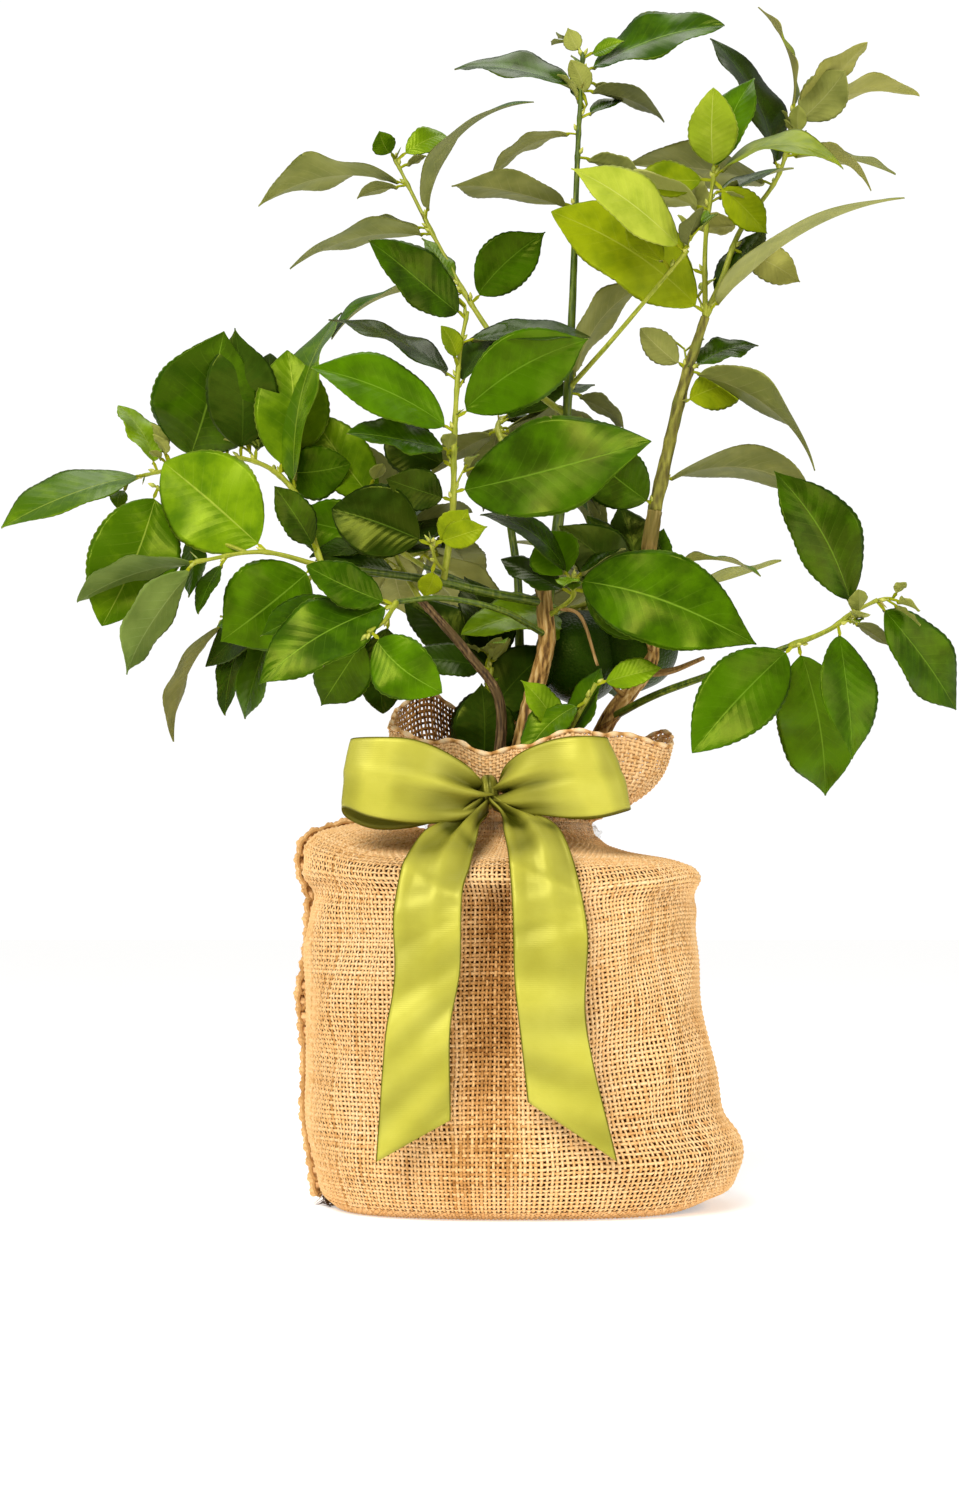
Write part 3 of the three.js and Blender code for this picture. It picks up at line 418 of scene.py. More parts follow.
def frontOrBack(heap, front):
    points = np.concatenate(heap.points)
    faces = np.array(heap.faces)
    keep = (points[faces, 1].mean(1) < 0) == front
    half = Heap()
    used, packed = np.unique(faces[keep], return_inverse=True)
    half.add(points[used], packed.reshape(-1, 4).tolist(), tint=np.concatenate(heap.tints)[used])
    return half


for heap, kind in ((upright, "upright"), (level, "level")):
    for front, where in ((True, "front"), (False, "back")):
        name = f"sack_{kind}_threads_{where}"
        makePiece(name, frontOrBack(heap, front), [juteYarn], "burlap", ["burlap_sack"])
print("sack woven", columns, "by", rows)

# The wrapped pot under the weave, a plain lining that shows through the holes, painted the dark brown of jute
# in shade
lining = Heap()
linerRows, linerColumns = sackSize["linerRows"], sackSize["linerColumns"]
linerAngles = np.arange(linerColumns) / linerColumns * 2 * math.pi
linerPlaces = np.linspace(0, len(sackSections) - 1, linerRows)
linerGrid = sackPoints(linerPlaces[:, None], linerAngles[None, :], sackSize["linerInset"])
linerGrid[:, :, 2] = np.clip(linerGrid[:, :, 2] - 1.5, 0.3, neckHeight - 1)
lining.add(linerGrid, tubeFaces(linerRows, linerColumns))
makePiece("pot_lining", lining, [juteLining], "burlap", ["burlap_sack"])

# Collar: the open top of the sack, flared and ruffled above the tie

# Reach and height of the rim at eight points round the compass, from the right by way of the back
collarRim = [(84, 247), (66, 254), (50, 268), (62, 277), (71, 263), (56, 246), (46, 244), (62, 250)]
collarSize = {
    "ruffles": 7, "ruffleDepth": 3.2, "clothThickness": 2.4, "columns": 172, "rows": 22, "threadWidth": 1.45,
    "rimRadius": 1.25, "rimRidge": 0.3, "rimPoints": 48, "rimSteps": 220,
}


def roundCompass(column, angle):
    place = angle % (2 * math.pi) / (2 * math.pi) * len(collarRim)
    i = int(place) % len(collarRim)
    t = place - int(place)
    a, b = collarRim[i][column], collarRim[(i + 1) % len(collarRim)][column]
    return a + (b - a) * t * t * (3 - 2 * t)


# The flaps bulge out from the tie like a bowl and end nearly upright, with soft ruffles at the rim
def collarPoint(share, angle):
    ruffle = collarSize["ruffleDepth"] * share * math.cos(collarSize["ruffles"] * angle)
    ruffle += 3.4 * share ** 3 * math.sin(3 * angle + 2.4)
    pleat = 1.5 * math.cos(19 * angle + 1.6 * math.sin(3 * angle)) * (1 - share) ** 1.5
    bowl = 1 - (1 - share) ** (2.2 + 0.7 * math.cos(angle))
    reach = neckRadius + (roundCompass(0, angle) - neckRadius) * bowl
    reach += ruffle + pleat - collarSize["clothThickness"] / 2
    height = neckHeight + 0.5 + (roundCompass(1, angle) - neckHeight - 0.5) * share
    height += 2.4 * share * math.sin(5 * angle + 1) + 1.6 * share * math.sin(11 * angle)
    lobes = 5 * share ** 2 * (ridge(angle, 0.1, 0.16) + ridge(angle, 5.7, 0.3))
    return reach * math.cos(angle), reach * math.sin(angle), height + lobes


columnAngle = np.arange(collarSize["columns"]) / collarSize["columns"] * 2 * math.pi
collarGrid = np.array([[collarPoint(share, angle) for angle in columnAngle]
                       for share in np.arange(collarSize["rows"] + 1) / collarSize["rows"]])
# Only the flap at the back left is stretched open, so that light shows through it. Its inside, turned away
# from the light, gets painted shade.
collarThread = dict(sackSize, threadWidth=collarSize["threadWidth"],
                    cover=1.4 - 0.17 * ridge(columnAngle, 2.2, 0.8)[None, :],
                    paintedShade=0.72 * ridge(columnAngle, 2.2, 0.6)[None, :] - 0.02)
collarHeap = Heap()
for part in weaveThreads(collarGrid, collarThread, 9):
    collarHeap.add(np.concatenate(part.points), part.faces, tint=np.concatenate(part.tints))
# Folded rim, a soft roll of the same cloth
rimRoute = [collarPoint(1, angle) for angle in np.linspace(0, 2 * math.pi, collarSize["rimPoints"] + 1)]


def rimRelief(along, angle, radius):
    return collarSize["rimRidge"] * np.sin(along * 2.6) * np.ones_like(angle)


addTube(collarHeap, rimRoute, lambda s: collarSize["rimRadius"], 6, collarSize["rimSteps"], relief=rimRelief)
makePiece("collar_weave", collarHeap, [juteYarn], "burlap", ["sack_collar"])
print("collar woven")

# Potting compost at the neck, lumpy and dark

soilSize = {"radius": 40.6, "thickness": 6, "drop": 4, "highestLump": 1.8, "cuts": 5}
earth = Finish("potting_compost")
crumbs = earth.grain(300, 6, 0.7)
compost = earth.close({"Roughness": 0.95, "Specular IOR Level": 0.2},
                      colour=earth.ramp(crumbs, [(0.3, "#1c130c"), (0.55, "#3b2a1d"), (0.75, "#6b543c")]),
                      normal=earth.bump(crumbs, 0.8, 0.001))
bpy.ops.mesh.primitive_cylinder_add(vertices=64, radius=soilSize["radius"] * mm, end_fill_type="TRIFAN",
                                    depth=soilSize["thickness"] * mm,
                                    location=(0, 0, (soilTop - soilSize["drop"]) * mm))
soil = takeShape("compost_surface")
bpy.ops.object.transform_apply(location=True, rotation=True, scale=True)
bpy.ops.object.mode_set(mode="EDIT")
bpy.ops.mesh.select_all(action="SELECT")
bpy.ops.mesh.subdivide(number_cuts=soilSize["cuts"])
bpy.ops.object.mode_set(mode="OBJECT")
for vertex in soil.data.vertices:
    if vertex.co.z > (soilTop - 2) * mm:
        lump = noise.fractal(vertex.co * 150, 0.8, 2.2, 4) * 2.2 + noise.noise(vertex.co * 60) * 1.5
        vertex.co.z += min(lump, soilSize["highestLump"]) * mm
soil.data.materials.append(compost)
settle(soil, "soil", ["potting_soil"])

# Clear strap that ties the neck: low-density polyethylene film, wrinkled and glossy

clear = Finish("clear_polythene_film")
film = clear.close({"Base Color": "#b9a98c", "Roughness": 0.1, "IOR": 1.51, "Alpha": 0.14},
                   normal=clear.bump(clear.grain(260, 3), 0.6, 0.0008))
# Radius and height round the strap's section, outside first and then inside
strapProfile = [(45, 200.6), (46.2, 201), (46.6, 202.4), (46.2, 203.6), (46.5, 204.6), (45, 205.4),
                (44.5, 205.2), (44.5, 200.8)]
strapColumns = 120
strapAngles = np.arange(strapColumns) / strapColumns * 2 * math.pi
strapGrid = []
for radius, height in strapProfile:
    wrinkle = 0.25 * np.sin(17 * strapAngles + height) + 0.2 * np.sin(41 * strapAngles - 2 * height)
    reach = radius + wrinkle * (radius > 45)
    strapGrid.append(np.stack([reach * np.cos(strapAngles), reach * np.sin(strapAngles),
                               np.full(strapColumns, float(height))], 1))
# The last row joins the first one
strapFaces = gridFaces(len(strapProfile) + 1, strapColumns, True) % (len(strapProfile) * strapColumns)
strap = Heap()
strap.add(np.array(strapGrid), strapFaces.tolist())
# The film's gathered end, right of the neck
gatheredRoute = [(20, -44, 206), (29, -49, 205), (38, -48, 201), (46, -42, 198)]


def filmRelief(along, angle, radius):
    return 0.8 * np.sin(4 * angle + along) + 0.6 * np.sin(7 * angle - 1.7 * along)


addTube(strap, gatheredRoute, lambda s: 2.6 + 1.8 * math.sin(3 * s), 18, 26, relief=filmRelief)
makePiece("neck_tie_film", strap, [film], "strap", ["neck_strap"])
print("soil and strap made")

# Rolled hem with chain stitches down the left edge of the sack

hemSize = {"radius": 3.9, "steps": 620, "stitch": 8.2, "stitchWidth": 2.6, "threadRadius": 0.9,
           "stitchPoints": 12, "windPitch": 2.7}
hemRoute = [
    (-103.1, 0, 5), (-107.1, 0, 28), (-110.1, 0, 55), (-109.6, 0, 82), (-112.6, 0, 110), (-109.1, 0, 137),
    (-108.1, 0, 165), (-113.1, 0, 184), (-109.1, 0, 197), (-93.1, -1, 203), (-75.1, -2, 206),
    (-61.1, -2, 206),
]
hem = Heap()


# Rolled cloth: its threads wind round the roll, and the stitches pull it in
def hemRelief(along, angle, radius):
    threads = 0.75 * np.abs(np.sin(math.pi * along / hemSize["windPitch"] + 1.5 * angle)) - 0.5
    tuck = 1.1 * np.sin(along * 2 * math.pi / hemSize["stitch"]) * np.cos(angle + 0.8)
    lumps = 0.35 * np.sin(along / 5.7 + 2 * angle) + 0.3 * np.sin(along / 3.3 - angle)
    return threads + tuck + lumps


addTube(hem, hemRoute, lambda s: hemSize["radius"], 24, hemSize["steps"], relief=hemRelief)
hemSteps = 400
line, tangents, _, _, hemLength = smoothRoute(hemRoute, hemSteps)
stitches = int(hemLength / hemSize["stitch"])
for n in range(stitches):
    at = round((n + 0.5) / stitches * hemSteps)
    start = Vector(line[at])
    along = Vector(tangents[at])
    outward = Vector((0.1, -1, 0)).normalized()
    outward = (outward - along * outward.dot(along)).normalized()
    wide = along.cross(outward)
    ring = []
    for k in range(hemSize["stitchPoints"] + 1):
        turn = 2 * math.pi * k / hemSize["stitchPoints"]
        pinch = 0.55 + 0.45 * math.cos(turn / 2) ** 2
        rise = hemSize["radius"] + 0.35 + 0.5 * math.sin(turn * 0.5)
        ring.append(start + along * (hemSize["stitch"] * 0.56 * math.cos(turn))
                    + wide * (hemSize["stitchWidth"] * pinch * math.sin(turn)) + outward * rise)
    addTube(hem, ring, lambda s: hemSize["threadRadius"], 5, 14, slot=1)
stitchYarn = juteMaterial("jute_stitch_yarn", [(0.2, "#7a4c1e"), (0.5, "#b98a50"), (0.85, "#dab078")])
makePiece("rolled_hem", hem, [juteHem, stitchYarn], "hem", ["side_hem"])
print("hem sewn")

# Loose ends of jute: a frayed patch at the lower left corner and a few fibres at the collar's left edge

# Count, ranges in which fibres start, their usual direction and the lightest tint. The fibres under the lower
# left corner are held dark as painted shade under the sack.
frayGroups = [
    (420, ((-101, -76), (-14, 10), (0.8, 8)), (-0.5, -2, -2), 0.3),
    (14, ((-70, -62), (-42, -30), (222, 246)), (-9, -3, 2), 1),
]
fraySize = {"radius": 0.22, "stray": (2.6, 3, 2), "bend": 1.2, "lowest": 0.6}
frayYarn = juteMaterial("frayed_jute", [(0.2, "#1c0e04"), (0.5, "#4a2c12"), (0.85, "#c08f56")])
fray = Heap()
chance = np.random.default_rng(41)
for count, ranges, heading, lightest in frayGroups:
    for n in range(count):
        start = np.array([chance.uniform(*pair) for pair in ranges])
        reach = chance.normal(0, 1, 3) * fraySize["stray"] + heading
        bend = start + reach * 0.5 + chance.normal(0, fraySize["bend"], 3)
        end = start + reach
        bend[2] = max(bend[2], fraySize["lowest"])
        end[2] = max(end[2], fraySize["lowest"])
        addTube(fray, [start, bend, end], lambda s: fraySize["radius"] * (1.3 - s), 4, 8,
                tint=chance.uniform(0, lightest))
makePiece("loose_jute_fibres", fray, [frayYarn], "burlap", ["burlap_sack"])

# Satin bow, tied from one ribbon with wired edges

ribbonSize = {"thickness": 0.45, "acrossSteps": 16, "alongSteps": 72}


# Crowned sheet between two edge lines, given as rows of (top or left edge, bottom or right edge)
def ribbonGrid(rows, crown, fold):
    first = smoothRoute([row[0] for row in rows], ribbonSize["alongSteps"])[0]
    second = smoothRoute([row[1] for row in rows], ribbonSize["alongSteps"])[0]
    along = np.gradient((first + second) / 2, axis=0)
    normal = np.cross(along, second - first)
    normal /= np.linalg.norm(normal, axis=1)[:, None]
    across = np.linspace(0, 1, ribbonSize["acrossSteps"] + 1)
    grid, depth = [], []
    for i, (a, b, n) in enumerate(zip(first, second, normal)):
        pleat = fold(i / ribbonSize["alongSteps"], across)
        grid.append(a + (b - a) * across[:, None] + n * (crown * np.sin(across * math.pi) + pleat)[:, None])
        depth.append(pleat * n[1])
    return np.array(grid), np.array(depth)


def makeRibbon(name, rows, crown, fold, light, node):
    grid, depth = ribbonGrid(rows, crown, fold)
    across, along = np.meshgrid(np.linspace(0, 1, grid.shape[1]), np.linspace(0, 1, grid.shape[0]))
    # How open to the light each place is: pleats that lie deeper are in the bow's own shade
    openness = np.clip(light(along, across) - 0.13 * depth, 0, 1)
    heap = Heap()
    heap.add(grid, gridFaces(grid.shape[0], grid.shape[1]).tolist(),
             uvs=np.stack([across.ravel(), along.ravel()], 1), tint=openness.ravel())
    piece = makePiece(name, heap, [satin], "satin_ribbon", [node])
    solidify = piece.modifiers.new("thickness", "SOLIDIFY")
    solidify.thickness = ribbonSize["thickness"] * mm
    solidify.offset = 0
    bpy.ops.object.select_all(action="DESELECT")
    piece.select_set(True)
    bpy.context.view_layer.objects.active = piece
    bpy.ops.object.modifier_apply(modifier="thickness")


# Polyester satin: a soft shine over fine threads, with darker wired edges
cloth = Finish("polyester_satin")
fromMiddle = cloth.calc("ABSOLUTE", cloth.calc("SUBTRACT", cloth.surface("X"), 0.5))
wire = cloth.remap(fromMiddle, 0.475, 0.49)
satinTone = cloth.ramp(cloth.grain(30, 4), [(0.3, "#a7a136"), (0.5, "#b3ad40"), (0.7, "#bfb94c")])
# Painted shade: the tint, how open each place is to the light, turns the satin towards dark olive
shaded = cloth.mix(cloth.tint(), "#3c3e06", satinTone)
threads = addNode(cloth.tree, "TexWave", {"Scale": 330, "Distortion": 1.5, "Detail": 1,
                                         "bands_direction": "Z", "Vector": cloth.place}, "Fac")
satin = cloth.close({"Roughness": 0.36, "Specular IOR Level": 0.75, "Specular Tint": "#ece47a"},
                   colour=cloth.mix(wire, shaded, "#5a560a"),
                   normal=cloth.bump(threads, 0.12, 0.0002))


def loopFold(share, across):
    near = math.exp(-min(share, 1 - share) * 6.5)
    pleats = np.sin(across * math.pi * 4.6 + 0.6 + 1.4 * share) + 0.35 * np.sin(across * math.pi * 9 + 1)
    gather = 6.2 * near * pleats * np.sin(across * math.pi) ** 0.7
    wrinkle = 0.9 * np.sin(share * 27 + 3.5 * across) * ridge(across, 0.35, 0.3)
    return gather + wrinkle


leftLoopRows = [
    ((-16, -57, 224), (-16, -58, 213)), ((-21, -67, 232), (-24, -68, 206)),
    ((-37, -76, 242), (-37, -76, 203.5)), ((-52, -80, 247), (-54, -80, 203.5)),
    ((-68, -80, 248), (-74, -80, 207)), ((-82, -75, 247.5), (-87, -75, 212)),
    ((-82, -66, 246), (-86, -65, 207)), ((-70, -61, 245), (-72, -60, 201)),
    ((-46, -58, 240), (-46, -57, 203)), ((-19, -53, 229), (-19, -52, 215)),
]
rightLoopRows = [
    ((-7, -57, 225), (-7, -58, 214)), ((-4, -65, 233), (3, -67, 208.5)),
    ((6, -73, 241), (15, -75, 207.5)), ((22, -79, 247), (30, -80, 206)),
    ((37, -80, 248.5), (46, -80, 207)), ((49, -75, 248), (61, -74, 211)),
    ((49, -66, 247), (60, -65, 210)), ((36, -61, 244), (42, -60, 206)),
    ((18, -58, 240), (20, -57, 208)), ((-5, -53, 229), (-5, -52, 216)),
]


# Painted light for the loops: a painted highlight on a band before they turn, and painted shade inside and by
# the knot
def loopLight(share, across):
    band = 0.35 * ridge(share, 0.4, 0.05) - 0.22 * ridge(share, 0.47, 0.035)
    knotShade = 0.95 * np.exp(-share * 8) + 0.3 * ridge(share, 0.2, 0.07) * (across > 0.45)
    return 0.86 + band - knotShade - 0.62 * np.clip((share - 0.52) * 12, 0, 1)


makeRibbon("bow_loop_left_satin", leftLoopRows, 1.6, loopFold, loopLight, "bow_loop_left")
makeRibbon("bow_loop_right_satin", rightLoopRows, -1.6, loopFold, loopLight, "bow_loop_right")


def tailFold(share, across):
    near = math.exp(-share * 6)
    pleats = np.sin(across * math.pi * 3.6 + 0.3 + 3 * share) + 0.3 * np.sin(across * math.pi * 8)
    gather = 5 * near * pleats + 0.75 * np.sin(share * 47 + 4.2 * across) * min(1, share * 5)
    buckle = 1.3 * np.sin(share * 19 + 1 + 1.6 * across) * np.cos(across * math.pi * 0.9) * min(1, share * 8)
    crease = 0.7 * ridge(share - 0.09 * across, 0.3, 0.012) + 0.55 * ridge(share + 0.05 * across, 0.47, 0.014)
    return gather + buckle * (1 - 0.3 * share) + crease


leftTailRows = [
    ((-16, -60, 214), (-11, -60, 213)), ((-28, -68, 206), (-16, -68, 206)),
    ((-45, -80, 199), (-18, -80, 196)), ((-54.5, -94, 184), (-21, -94, 184)),
    ((-60, -106, 157), (-25, -106, 168)), ((-59.5, -109, 125), (-26.5, -110, 127)),
    ((-64, -110, 95), (-31, -111, 101)), ((-68.5, -109, 33), (-31, -110, 54)),
]
rightTailRows = [
    ((-12, -60, 214), (-6, -60, 215)), ((-5, -68, 207), (5, -68, 210)),
    ((-4, -80, 199), (19, -80, 206)), ((-2, -94, 187), (28, -92, 194)),
    ((0, -107, 157), (34, -103, 172)), ((1, -110, 122), (38, -108, 146)),
    ((4, -111, 95), (37, -110, 103)), ((7.5, -109, 63), (52.5, -108, 33)),
]


# Painted light for the tails: painted shade where they leave the knot, then painted highlights where cross
# folds catch the light
def tailLight(share, across):
    knotShade = 1.15 * np.exp(-share * 6) * (1.12 - 0.42 * across)
    gleam = 0.16 * np.sin(share * 41 + 2.6 * across) * np.exp(-share * 1.5)
    return 0.84 - knotShade + gleam - 0.3 * ridge(share - 0.06 * across, 0.12, 0.02)


makeRibbon("bow_tail_left_satin", leftTailRows, 0.6, tailFold, tailLight, "ribbon_tail_left")
makeRibbon("bow_tail_right_satin", rightTailRows, 0.6, tailFold, tailLight, "ribbon_tail_right")

# Knot, a tight turn of ribbon with its creases
knotSize = {"centre": (-12, -55, 220.5), "reach": (5.6, 7.6, 9.2)}
bpy.ops.mesh.primitive_uv_sphere_add(segments=40, ring_count=24, radius=1, location=(0, 0, 0))
knot = takeShape("bow_knot_satin")
for vertex in knot.data.vertices:
    x, y, z = vertex.co
    crease = 1 - 0.13 * math.cos(x * 9 + z * 2) - 0.07 * math.cos(x * 17 + 1.5)
    shape = (x * (1 + 0.25 * z * z), y * crease, z)
    vertex.co = [(centre + reach * own) * mm
                 for centre, reach, own in zip(knotSize["centre"], knotSize["reach"], shape)]
knot.data.uv_layers[0].name = "surfaceUv"
for corner in knot.data.uv_layers[0].data:
    corner.uv.x = 0.5  # away from the ribbon's wired edges
# Painted shade: the knot lies deep between the loops, so its satin is darkened in soft bands
openness = knot.data.attributes.new("tint", "FLOAT", "POINT")
for vertex, value in zip(knot.data.vertices, openness.data):
    value.value = 0.25 + 0.25 * math.sin(vertex.co.x * 1400 + vertex.co.z * 260)
knot.data.materials.append(satin)
settle(knot, "satin_ribbon", ["ribbon_knot"])
print("bow tied")

# Woody stems and boughs: route in millimetres, radius at foot and tip, flare at the root collar

limbs = {
    "main_trunk": {
        "route": [[1, 7, stemFoot], [11, 4, 268], [20, 1, 304], [19, 0, 322], [18, 0, 337]],
        "radii": [5.8, 4.1], "flare": 3.4,
    },
    "left_stem": {
        "route": [[-9, -9, stemFoot], [-6, -8, 272], [-22, -12, 296], [-49, -22, 326]],
        "radii": [3, 2], "flare": 1.4,
    },
    "right_stem": {
        "route": [[34, 12, stemFoot], [54, 12, 262], [77, 12, 296], [74, 12, 326], [77, 12, 359],
                  [80, 12, 378]],
        "radii": [4.8, 3.9], "flare": 1.8,
    },
    "back_stem": {
        "route": [[10, 27, stemFoot], [6, 42, 300], [5, 52, 345], [0, 60, 385], [-3, 66, 423]],
        "radii": [3, 1.9], "flare": 1,
    },
    "leader_bough": {
        "route": [[19, 1, 316], [24, 10, 350], [29, 14, 392], [31, 14, 418]], "radii": [3.4, 2.8],
    },
    "left_bough": {
        "route": [[19, 0, 326], [-11, -12, 330], [-38, -22, 335], [-76, -34, 339], [-100, -40, 341]],
        "radii": [2.7, 1.9],
    },
    "left_low_bough": {
        "route": [[20, 0, 308], [-6, -30, 319], [-37, -50, 323], [-60, -60, 320]], "radii": [1.8, 1.4],
    },
    "right_low_bough": {
        "route": [[56, 12, 264], [78, -20, 274], [106, -46, 283], [145, -66, 296]], "radii": [2.2, 1.6],
    },
    "back_left_bough": {"route": [[6, 47, 322], [-22, 60, 342], [-48, 70, 354]], "radii": [2, 1.5]},
    "back_right_bough": {"route": [[76, 12, 314], [73, 38, 332], [70, 62, 346]], "radii": [2.1, 1.6]},
    "thorny_twig": {"route": [[74, 12, 288], [88, 4, 289], [105, -8, 295]], "radii": [2.3, 1.1]},
}
limbSize = {"flareFade": 9, "sides": 26, "stepLength": 1.3}


# Fissured bark: ridges run along the stem, wander a little, and break where they cross
def barkRelief(depth, seed):
    def relief(along, angle, radii):
        wander = 0.55 * np.sin(along / 13 + seed) + 0.35 * np.sin(along / 5.3 + 2 * seed + angle)
        ridges = np.sin(6 * angle + 2.2 * wander + seed) * np.cos(along / 8.5 + 2 * angle + seed)
        ridges += 0.7 * np.sin(11 * angle - 3 * wander) * np.cos(along / 5.1 - 3 * angle + seed)
        ridges += 0.4 * np.sin(17 * angle + along / 3.1 + 3 * wander)
        ring = 0.35 * ridge(along % 27, 13, 1.2)
        return depth * (np.minimum(ridges, 0.6) + ring)
    return relief


def limbRadius(limb):
    def radiusAt(share):
        return (limb["radii"][0] + (limb["radii"][1] - limb["radii"][0]) * share
                + limb.get("flare", 0) * math.exp(-share * limbSize["flareFade"]))
    return radiusAt


# Bark of a young citrus stem: tan cork splits over green, so fissures are dark and ridges light and matt.
# Greening is the height from which, and up to which, the bark turns to a younger colour, and that colour.
def barkMaterial(name, tones, cork, roughness, greening=None):
    bark = Finish(name)
    streak = addNode(bark.tree, "Mapping", {"Scale": (1, 1, 0.16), "Vector": bark.place})
    fibre = bark.grain(520, 4, 0.6, streak)
    blotch = bark.grain(70, 3)
    height = bark.calc("MULTIPLY", bark.calc("MULTIPLY_ADD", fibre, 1.3, bark.tint()), 0.45)
    colour = bark.mix(bark.remap(blotch, 0.48, 0.62, 0, 0.75), bark.ramp(height, tones), cork)
    if greening:
        start, end, young = greening
        climb = addNode(bark.tree, "SeparateXYZ", {0: bark.place}, "Z")
        ragged = bark.calc("MULTIPLY_ADD", blotch, 0.05, climb)
        colour = bark.mix(bark.remap(ragged, start, end, 0, 0.72), colour, young)
    return bark.close({"Roughness": roughness, "Specular IOR Level": 0.3}, colour=colour,
                      normal=bark.bump(fibre, 0.7, 0.0004))


fissuredBark = barkMaterial("fissured_citrus_bark",
                            [(0.3, "#211203"), (0.42, "#6a4819"), (0.53, "#b58a45"), (0.72, "#e4c688")],
                            "#9c7636", 0.75, (0.33, 0.4, "#59581a"))
# The left stem stands in the shade of the crown, so its bark is painted darker: painted shade
shadePaintedBark = barkMaterial("citrus_bark_painted_shade",
                         [(0.3, "#120b04"), (0.42, "#38260f"), (0.55, "#69502c"), (0.75, "#9b8056")],
                         "#57431f", 0.75)
greenBark = barkMaterial("green_citrus_bark",
                         [(0.2, "#141e03"), (0.42, "#32450a"), (0.56, "#5c6e16"), (0.8, "#a29f44")],
                         "#475810", 0.4)
deadBark = barkMaterial("dead_twig_bark", [(0.2, "#54401c"), (0.5, "#97743e"), (0.85, "#cda874")],
                        "#a8824c", 0.85)

limbGroups = [
    ("bark_stems", ["main_trunk", "right_stem"], fissuredBark, "bark", 0.7),
    ("left_stem_painted_shade", ["left_stem"], shadePaintedBark, "bark", 0.6),
    ("green_boughs", ["back_stem", "leader_bough", "left_bough", "left_low_bough", "right_low_bough",
                      "back_left_bough", "back_right_bough"], greenBark, "green_bark", 0.14),
    ("dead_thorny_twig", ["thorny_twig"], deadBark, "dead_wood", 0.12),
]
# Short broken snags on the right stem: foot, heading and length
snags = [((62, 8, 276), (-0.7, -0.3, 0.6), 13), ((50, 7, 258), (0.8, -0.4, 0.5), 12),
         ((78, 9, 300), (-0.5, -0.5, 0.8), 9)]
for pieceName, names, material, slot, depth in limbGroups:
    heap = Heap()
    for n, name in enumerate(names):
        limb = limbs[name]
        steps = round(routeLength(limb["route"]) / limbSize["stepLength"])
        addTube(heap, limb["route"], limbRadius(limb), limbSize["sides"], steps,
                relief=barkRelief(depth * min(1, limb["radii"][0] / 4), 1.7 * n + 0.6))
    if pieceName == "bark_stems":
        # Sawn top of the main trunk, cut flat and pale
        top = Vector(limbs["main_trunk"]["route"][-1])
        addTube(heap, [top - upward * 1, top + upward * 0.8], lambda s: 4.2 - 0.3 * s, 26, 2, tint=0.9)
        for at, heading, length in snags:
            start = Vector(at)
            end = start + Vector(heading).normalized() * length
            addTube(heap, [start, (start + end) / 2, end], lambda s: 1.5 - 1.1 * s, 8, 8, tint=0.4)
    makePiece(pieceName, heap, [material], slot, names)
print("stems and boughs grown")

# Foliage: each mass grows from one stem by the same rule as in the CAD source. A shoot's route starts at a
# bough's tip, or, with from, at that share of the mass's stem. A leaf that shows is [share of the shoot,
# clock heading seen from the front, seen length, facing, own arc]; facing 1 shows its whole top side, 0 its
# edge and a negative value its underside. Shoots deeper in the crown carry spiral leaves by the golden
# angle. The tones of a mass are dealt out to its leaves, the first one most often, and the own tones of a
# shoot are for leaves that stand out, by their place in its list.

